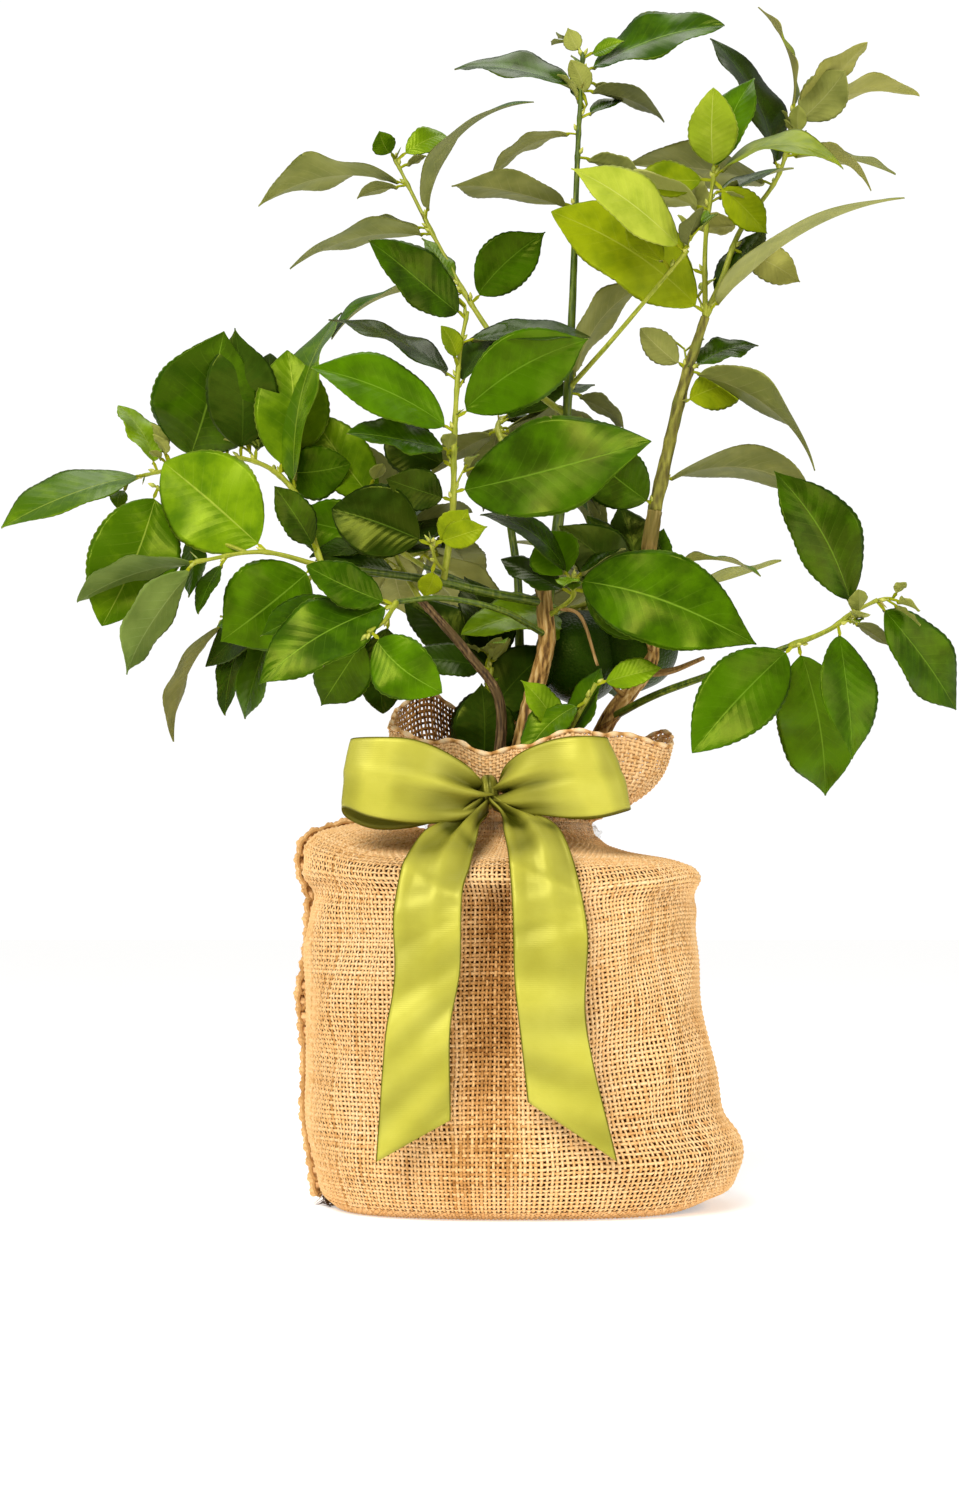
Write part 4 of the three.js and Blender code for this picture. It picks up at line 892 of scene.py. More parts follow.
masses = {
  "leader_mass": {
    "finish": "mature", "seed": 11, "tones": ["dark", "mid", "deep"],
    "shoots": [
      {
        "route": [[31, 14, 418], [35, 14, 496], [38, 12, 580], [41, 10, 634]], "radii": [2.7, 1],
        "leaves": [
          [0.12, 4, 37, -0.6, 1.3], [0.14, 1.15, 70, -0.5, 0.5], [0.6, 9.45, 69, -0.4],
          [0.79, 8.2, 55, -0.35, 1.2], [0.73, 3.8, 43, -0.5, 0.8], [0.83, 2.3, 28, 0.5],
          [0.9, 3.65, 49, -0.45, 1], [0.905, 9.4, 73, 0.35], [0.95, 2.35, 81, 0.5, 0.15],
          [0.99, 11.1, 18, -1.2], [0.99, 2.2, 24, 0.7],
        ],
        "ownTones": {8: "mid", 9: "light", 10: "light"},
      },
      {
        "from": 0.13, "route": [[56, -4, 470], [96, -24, 515]], "radii": [1.5, 1],
        "leaves": [[1, 10.3, 74, 0.7], [0.86, 10.8, 38, 0.8], [0.96, 0.7, 28, -0.7]],
        "ownTones": {0: "youngest", 1: "young", 2: "deep"},
      },
    ],
  },
  "upper_left_mass": {
    "finish": "mature", "seed": 23, "tones": ["mid", "dark"],
    "shoots": [
      {
        "route": [[31, 14, 432], [13, 22, 448], [-22, 42, 501], [-44, 58, 545], [-66, 72, 592]],
        "radii": [1.9, 0.9],
        "leaves": [
          [0.46, 1.55, 57, 1.15], [0.52, 10.8, 36, 0.45], [0.72, 8.6, 83, -0.35, 0.6],
          [0.74, 9.15, 43, -0.3], [0.77, 1.3, 88, -0.1, 1.25], [0.9, 8.8, 88, -0.3, 0.9],
          [0.96, 2.1, 17, -0.6], [1, 2.1, 33, 0.9, 1.4], [0.5, 8.45, 78, -0.1, 1.1],
          [0.9, 8.6, 30, -0.4], [1, 11, 19, 1.4],
        ],
        "ownTones": {0: "dark", 1: "light", 7: "light", 10: "light"},
      },
    ],
  },
  "centre_left_mass": {
    "finish": "mature", "seed": 31, "tones": ["mid", "dark"],
    "shoots": [
      {
        "route": [[-36, -21, 335], [-31, -34, 370], [-30, -36, 411], [-27, -34, 458], [-23, -30, 480]],
        "radii": [2, 1],
        "leaves": [
          [0.33, 2.5, 105, 0.95], [0.42, 10.1, 45, 1.2], [0.55, 9.8, 82, 0.75], [0.6, 1.98, 84, 1],
          [0.48, 9.4, 56, 0.6], [0.74, 9.9, 77, 0.35, 0.3], [0.78, 11.3, 24, 0.9],
          [0.88, 2.85, 71, 0.3, 0.5], [0.97, 10.35, 64, 0.85], [0.7, 1.2, 46, 0.6], [0.3, 9.6, 36, 1.2],
        ],
        "ownTones": {0: "dark", 1: "deep", 2: "mid", 3: "dark", 4: "mid", 5: "deep", 6: "young",
                     7: "deep", 8: "dark", 9: "deep", 10: "deep"},
      },
      {
        "from": 0.04, "route": [[-40, -40, 344], [-42, -48, 352]], "radii": [1.1, 0.8],
        "leaves": [[0.9, 1.4, 27, 1.5], [0.6, 6.6, 20, 1.2], [1, 2.4, 30, 1], [1, 9.65, 57, 1.5]],
        "ownTones": {0: "young", 1: "young", 2: "young", 3: "deep"},
      },
    ],
  },
  "right_middle_mass": {
    "finish": "mature", "seed": 41, "tones": ["dark", "mid"],
    "shoots": [
      {
        "route": [[80, 12, 378], [84, 12, 396], [95, 10, 444], [108, 8, 485]], "radii": [3.8, 2.6],
        "leaves": [
          [0.02, 10.3, 56, 1.2], [0.15, 3.18, 89, -0.35, 1.05], [0.72, 4.26, 87, -0.4, 1.1],
          [0.72, 2.3, 42, 0.6], [0.72, 10.4, 35, -1], [0.55, 2.35, 42, 1.1, 0.3],
        ],
        "ownTones": {0: "dark", 2: "mid", 5: "young"},
      },
    ],
  },
  "young_mass": {
    "finish": "young", "seed": 53, "tones": ["youngest", "young"],
    "shoots": [
      {
        "route": [[108, 8, 485], [108, 4, 527], [112, -6, 562]], "radii": [1.6, 0.9],
        "leaves": [
          [0.95, 9.1, 44, 0.9], [0.6, 11.6, 34, -0.7], [0.75, 9.4, 66, -0.5], [0.95, 4.5, 42, 1],
          [0.97, 2.8, 69, 0.35, 1.3], [0.97, 0.7, 59, 0.8], [1, 12, 45, 1.2], [0.8, 2.2, 50, 0.3],
          [0.03, 10.15, 100, 0.9], [0.3, 9.8, 40, 1],
        ],
        "ownTones": {0: "young", 3: "young", 4: "young", 5: "mid", 6: "youngest", 7: "mid", 8: "young"},
      },
    ],
  },
  "upper_right_mass": {
    "finish": "young", "seed": 61, "tones": ["young", "mid"],
    "shoots": [
      {
        "route": [[108, 8, 485], [118, 14, 508], [128, 22, 535], [152, 34, 572], [162, 44, 610]],
        "radii": [1.9, 0.9],
        "leaves": [
          [0.03, 1.92, 119, -0.15, 0.5], [0.06, 1.2, 52, 0.6], [0.32, 3.9, 42, -1], [0.72, 11.2, 86, 0.35],
          [0.8, 3.7, 52, -0.4, 1.2], [0.8, 3.35, 64, -0.1, 0.6], [0.93, 1.5, 43, -1.2],
          [0.97, 2.7, 73, -0.3, 0.9], [0.99, 1.55, 56, -0.4], [1, 11.45, 64, -0.1, 1],
          [0.66, 9.3, 87, -0.5, 0.6], [0.45, 8.9, 30, -0.8],
        ],
        "ownTones": {1: "deep", 3: "deep", 10: "dark"},
      },
    ],
  },
  "trunk_top_mass": {
    "finish": "mature", "seed": 71, "tones": ["dark", "mid"],
    "shoots": [
      {
        "route": [[20, 0, 318], [34, -18, 328], [33, -26, 336]], "radii": [1.5, 1],
        "leaves": [
          [0.8, 3.3, 62, 1.2], [0.9, 11.1, 32, 1.8], [1, 3.65, 101, 1, 0.8], [0.7, 9.9, 44, 0.7],
          [0.95, 10.3, 60, 0.5, 0.8], [0.97, 1.85, 34, 0.35],
        ],
        "ownTones": {0: "dark", 1: "mid", 3: "deep"},
      },
      { "from": 0.3, "route": [[37, -16, 318], [47, -18, 290]], "radii": [1.1, 0.8], "leaves": [] },
    ],
  },
  "right_low_mass": {
    "finish": "mature", "seed": 83, "tones": ["dark", "deep"],
    "shoots": [
      {
        "route": [[145, -66, 296], [165, -78, 304], [176, -84, 312], [188, -88, 318]], "radii": [1.6, 0.9],
        "leaves": [
          [0.05, 7.45, 75, 1.1], [0.1, 5.68, 84, 1], [0.55, 5.75, 68, 0.75], [0.65, 4.1, 26, -0.5],
          [0.75, 11.07, 82, 0.9], [1, 4.8, 71, 0.8],
        ],
        "ownTones": {0: "dark", 1: "dark", 2: "dark", 4: "dark", 5: "dark"},
      },
    ],
  },
  "left_upper_mass": {
    "finish": "mature", "seed": 97, "tones": ["light", "mid", "light"],
    "shoots": [
      {
        "route": [[-100, -40, 341], [-118, -18, 386], [-150, 16, 408], [-206, 40, 402]], "radii": [1.8, 0.9],
        "leaves": [
          [0.05, 10.9, 42, 0.9], [0.3, 0.45, 103, 0.35, 0.8], [0.44, 2.8, 41, 1.5], [0.4, 0.1, 70, 1.2],
          [0.62, 11.9, 70, 1.2], [0.68, 0.2, 54, 1], [0.83, 0.5, 73, 1.6], [0.94, 11, 44, 0.7],
          [1, 8.3, 84, 0.45, 0.6], [0.55, 0.2, 62, 0.9],
        ],
        "ownTones": {0: "dark", 1: "light", 2: "mid", 3: "light", 4: "deep", 5: "deep", 6: "mid",
                     9: "deep"},
      },
    ],
  },
  "left_tip_mass": {
    "finish": "mature", "seed": 101, "tones": ["dark", "mid"],
    "shoots": [
      {
        "route": [[-100, -40, 341], [-131, -54, 347], [-165, -68, 340]], "radii": [1.5, 0.9],
        "leaves": [
          [0.05, 7.7, 64, 1.6], [0.44, 10.35, 74, 1.45], [0.75, 6.9, 34, 0.6], [0.95, 8.4, 69, -0.35, 0.6],
          [1, 7.12, 69, -0.65, 0.9],
        ],
        "ownTones": {0: "mid", 1: "spotted", 3: "shaded", 4: "shaded"},
      },
      {
        "from": 0.6, "route": [[-170, -38, 362], [-190, -26, 386]], "radii": [1.1, 0.8],
        "leaves": [[1, 6.72, 79, 1.25], [0.6, 5.9, 40, 0.7]],
        "ownTones": {0: "light"},
      },
    ],
  },
  "left_drop_mass": {
    "finish": "mature", "seed": 113, "tones": ["dark", "deep"],
    "shoots": [
      {
        "route": [[-100, -40, 341], [-122, -20, 326], [-156, -2, 317]], "radii": [1.4, 0.9],
        "leaves": [
          [0.1, 7.65, 78, 0.65], [0.5, 6.6, 68, 0.55],
          [0.75, 6.5, 58, 0.35], [1, 6.8, 74, -0.3, 0.7],
        ],
        "ownTones": {0: "deep"},
      },
    ],
  },
  "left_hanging_mass": {
    "finish": "mature", "seed": 127, "tones": ["mid", "dark"],
    "shoots": [
      {
        "route": [[-60, -60, 320], [-66, -70, 309], [-74, -78, 302]], "radii": [1.3, 0.9],
        "leaves": [
          [0.1, 9.8, 50, 0.9], [0.4, 6.1, 52, 1], [0.95, 4.35, 47, 1.35], [1, 7.1, 46, 1.25],
          [0.05, 8.05, 80, 0.8],
        ],
        "ownTones": {1: "deep", 3: "mid"},
      },
      {
        "from": 0.1, "route": [[-84, -50, 324], [-104, -44, 322]], "radii": [1.1, 0.8],
        "leaves": [[0.6, 8.2, 50, 0.8], [1, 8.6, 56, 0.7]],
      },
    ],
  },
  "left_stem_mass": {
    "finish": "mature", "seed": 131, "tones": ["deep", "dark"],
    "shoots": [
      {
        "route": [[-49, -22, 326], [-62, -14, 350], [-70, -6, 376]], "radii": [1.7, 0.9],
        "leaves": [[0.3, 9.3, 48, 0.6], [0.6, 9.5, 58, 1.2], [0.7, 8.6, 44, 0.5], [1, 10.8, 66, 1]],
        "ownTones": {3: "light"},
      },
    ],
  },
  "fruiting_mass": {
    "finish": "mature", "seed": 139, "tones": ["deep", "dark"],
    "shoots": [
      {
        "route": [[76, 12, 322], [66, 30, 330], [48, 34, 330], [34, 32, 326]], "radii": [1.8, 1.3],
        "leaves": [
          [0.4, 11.2, 52, 0.8], [0.6, 6.8, 60, 0.8], [0.8, 5.4, 58, 0.6], [1, 8.6, 62, 0.7],
          [0.1, 10.5, 64, 0.9], [0.12, 0.5, 46, 0.9], [0.15, 11.6, 60, 1],
        ],
        "limes": [[0.98, 50, 4], [0.42, 46, 6]],
        "ownTones": {3: "light"},
      },
      {
        "from": 0.3, "route": [[84, 28, 340], [90, 22, 350]], "radii": [1.2, 0.8],
        "leaves": [[1, 3.25, 49, -0.12, 1], [0.4, 2.5, 74, -0.15, -0.4]],
        "ownTones": {0: "light", 1: "light"},
      },
    ],
  },
  "collar_mass": {
    "finish": "young", "seed": 149, "tones": ["light", "mid"],
    "shoots": [
      {
        "route": [[20, -12, stemFoot], [30, -20, 250], [46, -24, 280]], "radii": [1.8, 1],
        "leaves": [[0.5, 10.9, 40, 0.8], [0.85, 7.6, 46, 0.8], [1, 2.5, 36, 0.8], [0.4, 0.8, 52, 0.7]],
        "ownTones": {2: "light", 3: "mid"},
      },
    ],
  },
  "inner_mass": {
    "finish": "mature", "seed": 151, "tones": ["deep", "dark"],
    "shoots": [
      {
        "route": [[-16, 14, stemFoot], [-14, 18, 262], [-10, 16, 292]], "radii": [1.8, 1],
        "leaves": [
          [0.7, 6.2, 46, 0.9], [0.9, 7, 44, 0.8], [1, 9.2, 46, 0.8], [0.8, 3.8, 44, 0.7],
          [0.2, 0, 52, 1.4], [0.6, 1.4, 56, 1.2], [0.95, 10.4, 64, 0.9], [0.9, 11.6, 62, 0.9],
        ],
      },
    ],
  },
  "back_top_mass": {
    "finish": "mature", "seed": 163, "space": { "left": -45, "right": 60, "foot": 350, "top": 482 },
    "tones": ["dark", "deep"],
    "shoots": [
      { "route": [[-3, 66, 423], [-6, 84, 436], [-4, 106, 446]], "radii": [1.8, 1], "spiral": 9 },
      { "from": 0.3, "route": [[14, 92, 428], [26, 112, 430]], "radii": [1.2, 0.8], "spiral": 6 },
    ],
  },
  "back_left_mass": {
    "finish": "mature", "seed": 173, "space": { "left": -122, "right": 0, "foot": 305, "top": 428 },
    "tones": ["dark", "deep"],
    "shoots": [
      { "route": [[-48, 70, 354], [-62, 80, 364], [-74, 98, 374]], "radii": [1.5, 0.9], "spiral": 9 },
      { "from": 0.3, "route": [[-46, 102, 368], [-36, 122, 380]], "radii": [1.2, 0.8], "spiral": 7 },
    ],
  },
  "back_right_mass": {
    "finish": "mature", "seed": 181, "space": { "left": -5, "right": 97, "foot": 300, "top": 405 },
    "tones": ["dark", "deep"],
    "shoots": [
      { "route": [[70, 62, 346], [65, 86, 354], [61, 112, 362]], "radii": [1.6, 0.9], "spiral": 9 },
      { "from": 0.3, "route": [[42, 98, 358], [24, 120, 368]], "radii": [1.2, 0.8], "spiral": 7 },
    ],
  },
}
leafSize = {
    "widthOfLength": 0.47, "petioleLength": 7, "petioleHalfWidth": 0.95, "longestStalkShare": 0.3,
    "foldRange": (0.08, 0.3), "arcRange": (0.15, 0.5), "innerLengthRange": (52, 76), "leanRange": (0.15, 0.5),
    "spreadRange": (0.85, 1.3), "rollRange": (-0.5, 0.5), "firstSpiralShare": 0.35, "lastRoot": 0.985,
    "leanTries": (1, -1, 2, -2, 0.2, 3, -3), "twistTries": (0, 0, 0, 0, 0, -0.25, -0.25), "turnOfTry": 0.9,
    "stations": 54, "smallStations": 22, "smallLength": 34, "stalkStations": 4, "crenation": 4.6,
    "toothDepth": 0.6, "bladeThickness": 0.42, "stalkThickness": 1.1, "ribDepth": 0.85, "grooveDepth": 0.28,
    "waveRange": (0.008, 0.036), "wavesRange": (1.4, 2.6), "twistRange": (-0.22, 0.22),
    "sweepRange": (-0.08, 0.08), "lopsideRange": (-0.06, 0.06), "tipBend": 0.03,
}


# Small repeatable random numbers, the same as in the CAD source, so that each leaf comes out the same here
def seededRandom(seed):
    state = [seed & 0xFFFFFFFF]

    def draw():
        state[0] = (state[0] + 0x6D2B79F5) & 0xFFFFFFFF
        t = ((state[0] ^ (state[0] >> 15)) * (1 | state[0])) & 0xFFFFFFFF
        t = ((t + (((t ^ (t >> 7)) * (61 | t)) & 0xFFFFFFFF)) & 0xFFFFFFFF) ^ t
        return ((t ^ (t >> 14)) & 0xFFFFFFFF) / 4294967296
    return draw


def between(draw, low, high):
    return low + (high - low) * draw()


def foldAndArc(draw):
    fold = between(draw, *leafSize["foldRange"])
    return {"fold": fold, "arc": between(draw, *leafSize["arcRange"])}


def shownLeaf(root, entry, lean, twist, draw):
    _, clock, seenLength, facing, *ownArc = entry
    angle = clock * math.pi / 6
    toViewer = (viewpoint - root).normalized()
    seenRight = upward.cross(toViewer).normalized()
    seenUp = toViewer.cross(seenRight)
    heading = seenRight * math.sin(angle) + seenUp * math.cos(angle)
    heading = heading * math.cos(lean) + toViewer * math.sin(lean)
    facingNormal = (toViewer - heading * toViewer.dot(heading)).normalized()
    edgeNormal = heading.cross(facingNormal).normalized()
    if edgeNormal.z < 0:
        edgeNormal = -edgeNormal
    share = max(-1, min(1, facing + twist))
    leaf = {"root": root, "heading": heading, "length": seenLength / math.cos(lean),
            "normal": facingNormal * share + edgeNormal * math.sqrt(1 - share ** 2),
            "width": leafSize["widthOfLength"] * max(1, abs(facing)), **foldAndArc(draw)}
    if ownArc:
        leaf["arc"] = ownArc[0]
    return leaf


def spiralLeaf(root, tangent, index, turn, draw):
    across = tangent.cross(upward).normalized()
    across = Matrix.Rotation(index * goldenAngle + turn, 3, tangent) @ across
    spread = between(draw, *leafSize["spreadRange"])
    heading = tangent * math.cos(spread) + across * math.sin(spread)
    normal = (upward - heading * upward.dot(heading)).normalized()
    normal = Matrix.Rotation(between(draw, *leafSize["rollRange"]), 3, heading) @ normal
    length = between(draw, *leafSize["innerLengthRange"])
    return {"root": root, "heading": heading, "normal": normal, "length": length,
            "width": leafSize["widthOfLength"], **foldAndArc(draw)}


def spanAt(leaf, share):
    length, arc = leaf["length"], leaf["arc"]
    radius = length / (2 * math.sin(arc / 2))
    turn = (share - 0.5) * arc
    along = length / 2 + radius * math.sin(turn)
    rise = radius * (math.cos(turn) - math.cos(arc / 2))
    return leaf["root"] + leaf["heading"] * along + leaf["normal"] * rise


# Half width of a lime leaf's blade, as a share of its widest: rounded foot, and a tip from blunt to acute
def bladeFullness(t, acute=0.25):
    ease = np.clip((t - 0.62) / 0.38, 0, 1)
    ease = ease * ease * (3 - 2 * ease)
    return float(np.maximum(np.sin(math.pi * np.clip(t, 0, 1) ** 0.9), 0) ** (0.72 + acute * ease))


crossStations = [-1, -0.9, -0.6, -0.25, 0, 0.25, 0.6, 0.9, 1]
roughTurn = 6.28  # about a full turn


# One leaf: blade and petiole as one closed skin, with its top, underside and stalk in three materials
def addLeaf(heap, leaf, tone, draw):
    length, heading, normal = leaf["length"], leaf["heading"], leaf["normal"]
    side = heading.cross(normal).normalized()
    stalk = min(leafSize["petioleLength"] / length, leafSize["longestStalkShare"])
    stalkStations = leafSize["stalkStations"]
    stations = leafSize["smallStations" if length < leafSize["smallLength"] else "stations"]
    acute = 0.55 * draw() ** 2 + 0.02
    wave = between(draw, *leafSize["waveRange"]) * length
    waves = between(draw, *leafSize["wavesRange"])
    phase = draw() * roughTurn
    twist = between(draw, *leafSize["twistRange"])
    sweep = between(draw, *leafSize["sweepRange"]) * length
    tipBend = leafSize["tipBend"] * length * (1 + math.sin(3 * phase))
    lopside = between(draw, *leafSize["lopsideRange"])
    teeth = max(5, round(length / leafSize["crenation"]))
    points, uvs, slots = [], [], []
    rows = stalkStations + stations + 1
    ringSize = 2 * len(crossStations) - 2
    topCount = len(crossStations) - 1
    stalkSlot = tone * 3 + 2
    for row in range(rows):
        onStalk = row < stalkStations
        if onStalk:
            t = 0
            share = stalk * row / stalkStations
            half = leafSize["petioleHalfWidth"] * (0.75 + 0.5 * row / stalkStations)
            thick, lift, tooth, keel = leafSize["stalkThickness"], 0.1, 0, 0
            slots += [stalkSlot] * ringSize
        else:
            t = (row - stalkStations) / stations
            share = stalk + (1 - stalk) * t
            half = max(bladeFullness(t, acute) * length * leaf["width"] / 2, 0.35)
            thick = leafSize["bladeThickness"] + 0.7 * max(0, 1 - 6 * t)
            lift = leaf["fold"]
            tooth = leafSize["toothDepth"] * abs(math.sin(teeth * math.pi * t)) * min(1, 5 * t, 5 * (1 - t))
            keel = leafSize["ribDepth"] * (1 - t) + 0.2
            if row < rows - 1:
                slots += [tone * 3] * topCount + [tone * 3 + 1] * topCount
        middle = spanAt(leaf, share)
        middle = middle + side * (sweep * math.sin(math.pi * share) * (share > stalk))
        middle = middle - normal * (tipBend * t ** 4)
        roll = twist * t
        own = side * math.cos(roll) + normal * math.sin(roll)
        face = normal * math.cos(roll) - side * math.sin(roll)
        top, under = [], []
        for x in crossStations:
            reach = half * x * (1 + lopside * x)
            if abs(x) == 1:
                reach += x * min(tooth, 0.07 * half)
            curl = 0 if onStalk else half * abs(x) * math.sin(lift) * (1 - 0.45 * abs(x))
            ripple = math.sin(waves * roughTurn * t + phase + (2.1 if x > 0 else 0))
            rise = curl + wave * x * x * ripple * math.sin(math.pi * t)
            rib = 0
            if x == 0 and not onStalk:
                rise -= leafSize["grooveDepth"]
                rib = keel
            at = middle + own * (reach * math.cos(lift)) + face * rise
            top.append(at)
            under.append(at - face * (thick * (1 - x * x) ** 0.5 + rib))
        points += top + under[-2:0:-1]
        uvs += [((x + 1) / 2, t) for x in crossStations + crossStations[-2:0:-1]]
    start = len(heap.slots)
    heap.add([tuple(p) for p in points], tubeFaces(rows, ringSize, True), uvs=uvs, tint=draw())
    heap.slots[start:] = slots + [stalkSlot, tone * 3]


# Leaf blade. The top has a waxy cuticle, so it is glossy; the underside is matt and paler. The midrib and
# side veins are drawn from the blade's own map: across it from 0 to 1, and from its foot to its tip.
def bladeMaterial(name, base, dark, vein, shading, veinStrength):
    blade = Finish(name)
    across = blade.surface("X")
    fromRib = blade.calc("ABSOLUTE", blade.calc("SUBTRACT", across, 0.5))
    slant = blade.calc("MULTIPLY_ADD", blade.calc("POWER", fromRib, 0.8), -0.34, blade.surface("Y"))
    shifted = blade.calc("MULTIPLY_ADD", blade.calc("GREATER_THAN", across, 0.5), 0.03, slant)
    wave = blade.calc("PINGPONG", blade.calc("MULTIPLY", shifted, 11.5), 0.5)
    veins = blade.remap(wave, 0, 0.06, 1, 0, "SMOOTHSTEP")
    rib = blade.remap(fromRib, 0.004, 0.014, 0.52, 0, "SMOOTHSTEP")
    # Side veins are strongest near the midrib and fade out before the margin
    fine = blade.calc("MULTIPLY", veins, blade.remap(fromRib, 0.05, 0.42, veinStrength, 0))
    both = blade.calc("MAXIMUM", fine, rib)
    # Each leaf has a depth of green of its own, and soft blotches about 15 mm across
    blotch = blade.remap(blade.grain(65, 4, 0.55), 0.35, 0.65, -0.36, 0.36)
    patch = blade.calc("MULTIPLY_ADD", blade.tint(), 0.85, blotch, clamp=True)
    ribbed = blade.mix(both, blade.mix(patch, dark, base), vein)
    margin = blade.remap(fromRib, 0.486, 0.5, 0, 0.6)
    # Oil glands, about 0.7 mm apart, show as a fine grain in the gloss
    quilt = blade.calc("MULTIPLY_ADD", both, -0.5, wave)
    quilted = blade.bump(quilt, 0.26, 0.0006)
    return blade.close(shading, colour=blade.mix(margin, ribbed, vein),
                       normal=blade.bump(blade.glands(1400), 0.12, 0.00015, Normal=quilted))


# The cuticle's sheen is taken a little yellow green, as the leaves mirror each other more than the room
matureGloss = {"Roughness": 0.27, "Specular IOR Level": 0.38, "Specular Tint": "#d6e04a"}
youngGloss = {"Roughness": 0.36, "Specular IOR Level": 0.24, "Specular Tint": "#e2e460"}
matt = {"Roughness": 0.55, "Specular IOR Level": 0.14, "Specular Tint": "#e2e088"}
stalkGreen = bladeMaterial("petiole_skin", "#a3a61c", "#858c12", "#b9b83a", matt, 0)
# Tones of leaves: top side, its dark blotches, its veins and its gloss, then side, blotches and veins below.
# Shaded is dark with a greener underside, and spotted is light with deeper blotches.
# Deep and dark go mostly to leaves inside and behind the crown, where their darkness is partly painted shade.
leafTones = {
    "deep": ("#2c440a", "#162602", "#4a6418", matureGloss, "#72743e", "#585c2e", "#908e5c"),
    "dark": ("#3e6202", "#213602", "#688a22", matureGloss, "#94944c", "#737638", "#aea96c"),
    "mid": ("#4b7202", "#274402", "#7d9e2c", matureGloss, "#9c9d50", "#7e833e", "#b6b274"),
    "light": ("#72900c", "#3f5f03", "#a2b040", matureGloss, "#a4a650", "#888c3e", "#bab872"),
    "shaded": ("#3e6202", "#213602", "#688a22", matureGloss, "#74863e", "#586c2c", "#98a462"),
    "young": ("#909c0e", "#5f7206", "#aeb43e", youngGloss, "#a7a352", "#8d8c42", "#bfba72"),
    "youngest": ("#acb63a", "#84961e", "#c6ca68", youngGloss, "#b8b864", "#a2a454", "#ccc884"),
    "spotted": ("#72900c", "#335a03", "#a0ac40", matureGloss, "#a2ac58", "#8c984c", "#bcc074"),
}
toneOrder = list(leafTones)
leafMaterials = []
for tone, (base, dark, vein, gloss, under, underDark, underVein) in leafTones.items():
    leafMaterials += [
        bladeMaterial(f"lime_leaf_top_{tone}", base, dark, vein, gloss, 0.14),
        bladeMaterial(f"lime_leaf_underside_{tone}", under, underDark, underVein, matt, 0.3),
        stalkGreen,
    ]


# A leaf as a strip of eight faces, to try it against what it must keep clear of
def coarseLeaf(leaf, points, faces):
    side = leaf["heading"].cross(leaf["normal"]).normalized()
    first = len(points)
    for k in range(9):
        middle = spanAt(leaf, 0.1 + 0.9 * k / 8)
        half = bladeFullness(k / 8) * leaf["length"] * leaf["width"] / 2
        points += [middle + side * half, middle - side * half]
    faces += [(first + 2 * k, first + 2 * k + 1, first + 2 * k + 3, first + 2 * k + 2) for k in range(8)]


def obstacle(points, faces):
    return BVHTree.FromPolygons([tuple(p) for p in points], faces)


def isClear(leaf):
    points, faces = [], []
    coarseLeaf(leaf, points, faces)
    shell = obstacle(points, faces)
    return not any(shell.overlap(other) for other in obstacles)


def staysInside(leaf, space):
    tip = leaf["root"] + leaf["heading"] * leaf["length"]
    return space["left"] < tip.x < space["right"] and space["foot"] < tip.z < space["top"]


# What leaves keep clear of: the bow, the collar and the limbs, as coarse shells
blockHeap = Heap()
for limb in limbs.values():
    addTube(blockHeap, limb["route"], limbRadius(limb), 8, 16)
for rows in (leftLoopRows, rightLoopRows, leftTailRows, rightTailRows):
    grid = ribbonGrid(rows, 0, lambda share, across: 0 * across)[0][::6, ::4]
    blockHeap.add(grid, gridFaces(grid.shape[0], grid.shape[1]).tolist())
coarseCollar = collarGrid[::4, ::4]
blockHeap.add(coarseCollar, gridFaces(coarseCollar.shape[0], coarseCollar.shape[1], True).tolist())
obstacles = [obstacle(np.concatenate(blockHeap.points), blockHeap.faces)]

shootRoutes = {}
for name, mass in masses.items():
    for i, shoot in enumerate(mass["shoots"]):
        foot = [tuple(routePoint(shootRoutes[name, 0], shoot["from"])[0])] if "from" in shoot else []
        shootRoutes[name, i] = foot + shoot["route"]

growth = {
    "firstTone": 0.62, "thorn": 0.28, "spur": 0.22, "spurLength": (7, 15), "spurTurn": (-0.7, 0.7),
    "spurLeafLength": (13, 27), "spurLeafArc": 0.3, "spurLeafStep": 1.6, "spill": 3,
}
limeSize = {"tallness": 1.06, "drop": 2, "stalkRadius": 1.2, "rings": 33, "sides": 48}
twigSlots = {"green": 0, "young": 1, "bud": 2, "thorn": 3, "olive": 4, "dead": 5}
twigHeap, limeHeap = Heap(), Heap()


# The first of a leaf's positions that touches nothing. Each try leans or turns it another way.
def placeLeaf(root, tangent, n, entry, lean, space, seed):
    for turn, share in enumerate(leafSize["leanTries"]):
        own = seededRandom(seed)
        if entry:
            leaf = shownLeaf(root, entry, lean * share, leafSize["twistTries"][turn], own)
        else:
            leaf = spiralLeaf(root, tangent, n, turn * leafSize["turnOfTry"], own)
        if (space is None or staysInside(leaf, space)) and isClear(leaf):
            return leaf
    return None


def addBud(heap, at, heading, width, length, slot):
    points = []
    across = heading.orthogonal().normalized()
    other = heading.cross(across)
    for share, fullness in ((0, 0.5), (0.35, 1), (0.75, 0.6), (1, 0.08)):
        for k in range(6):
            turn = k * math.pi / 3
            out = across * math.cos(turn) + other * math.sin(turn)
            points.append(at + heading * (share * length) + out * (fullness * width))
    heap.add([tuple(p) for p in points], tubeFaces(4, 6), slot)


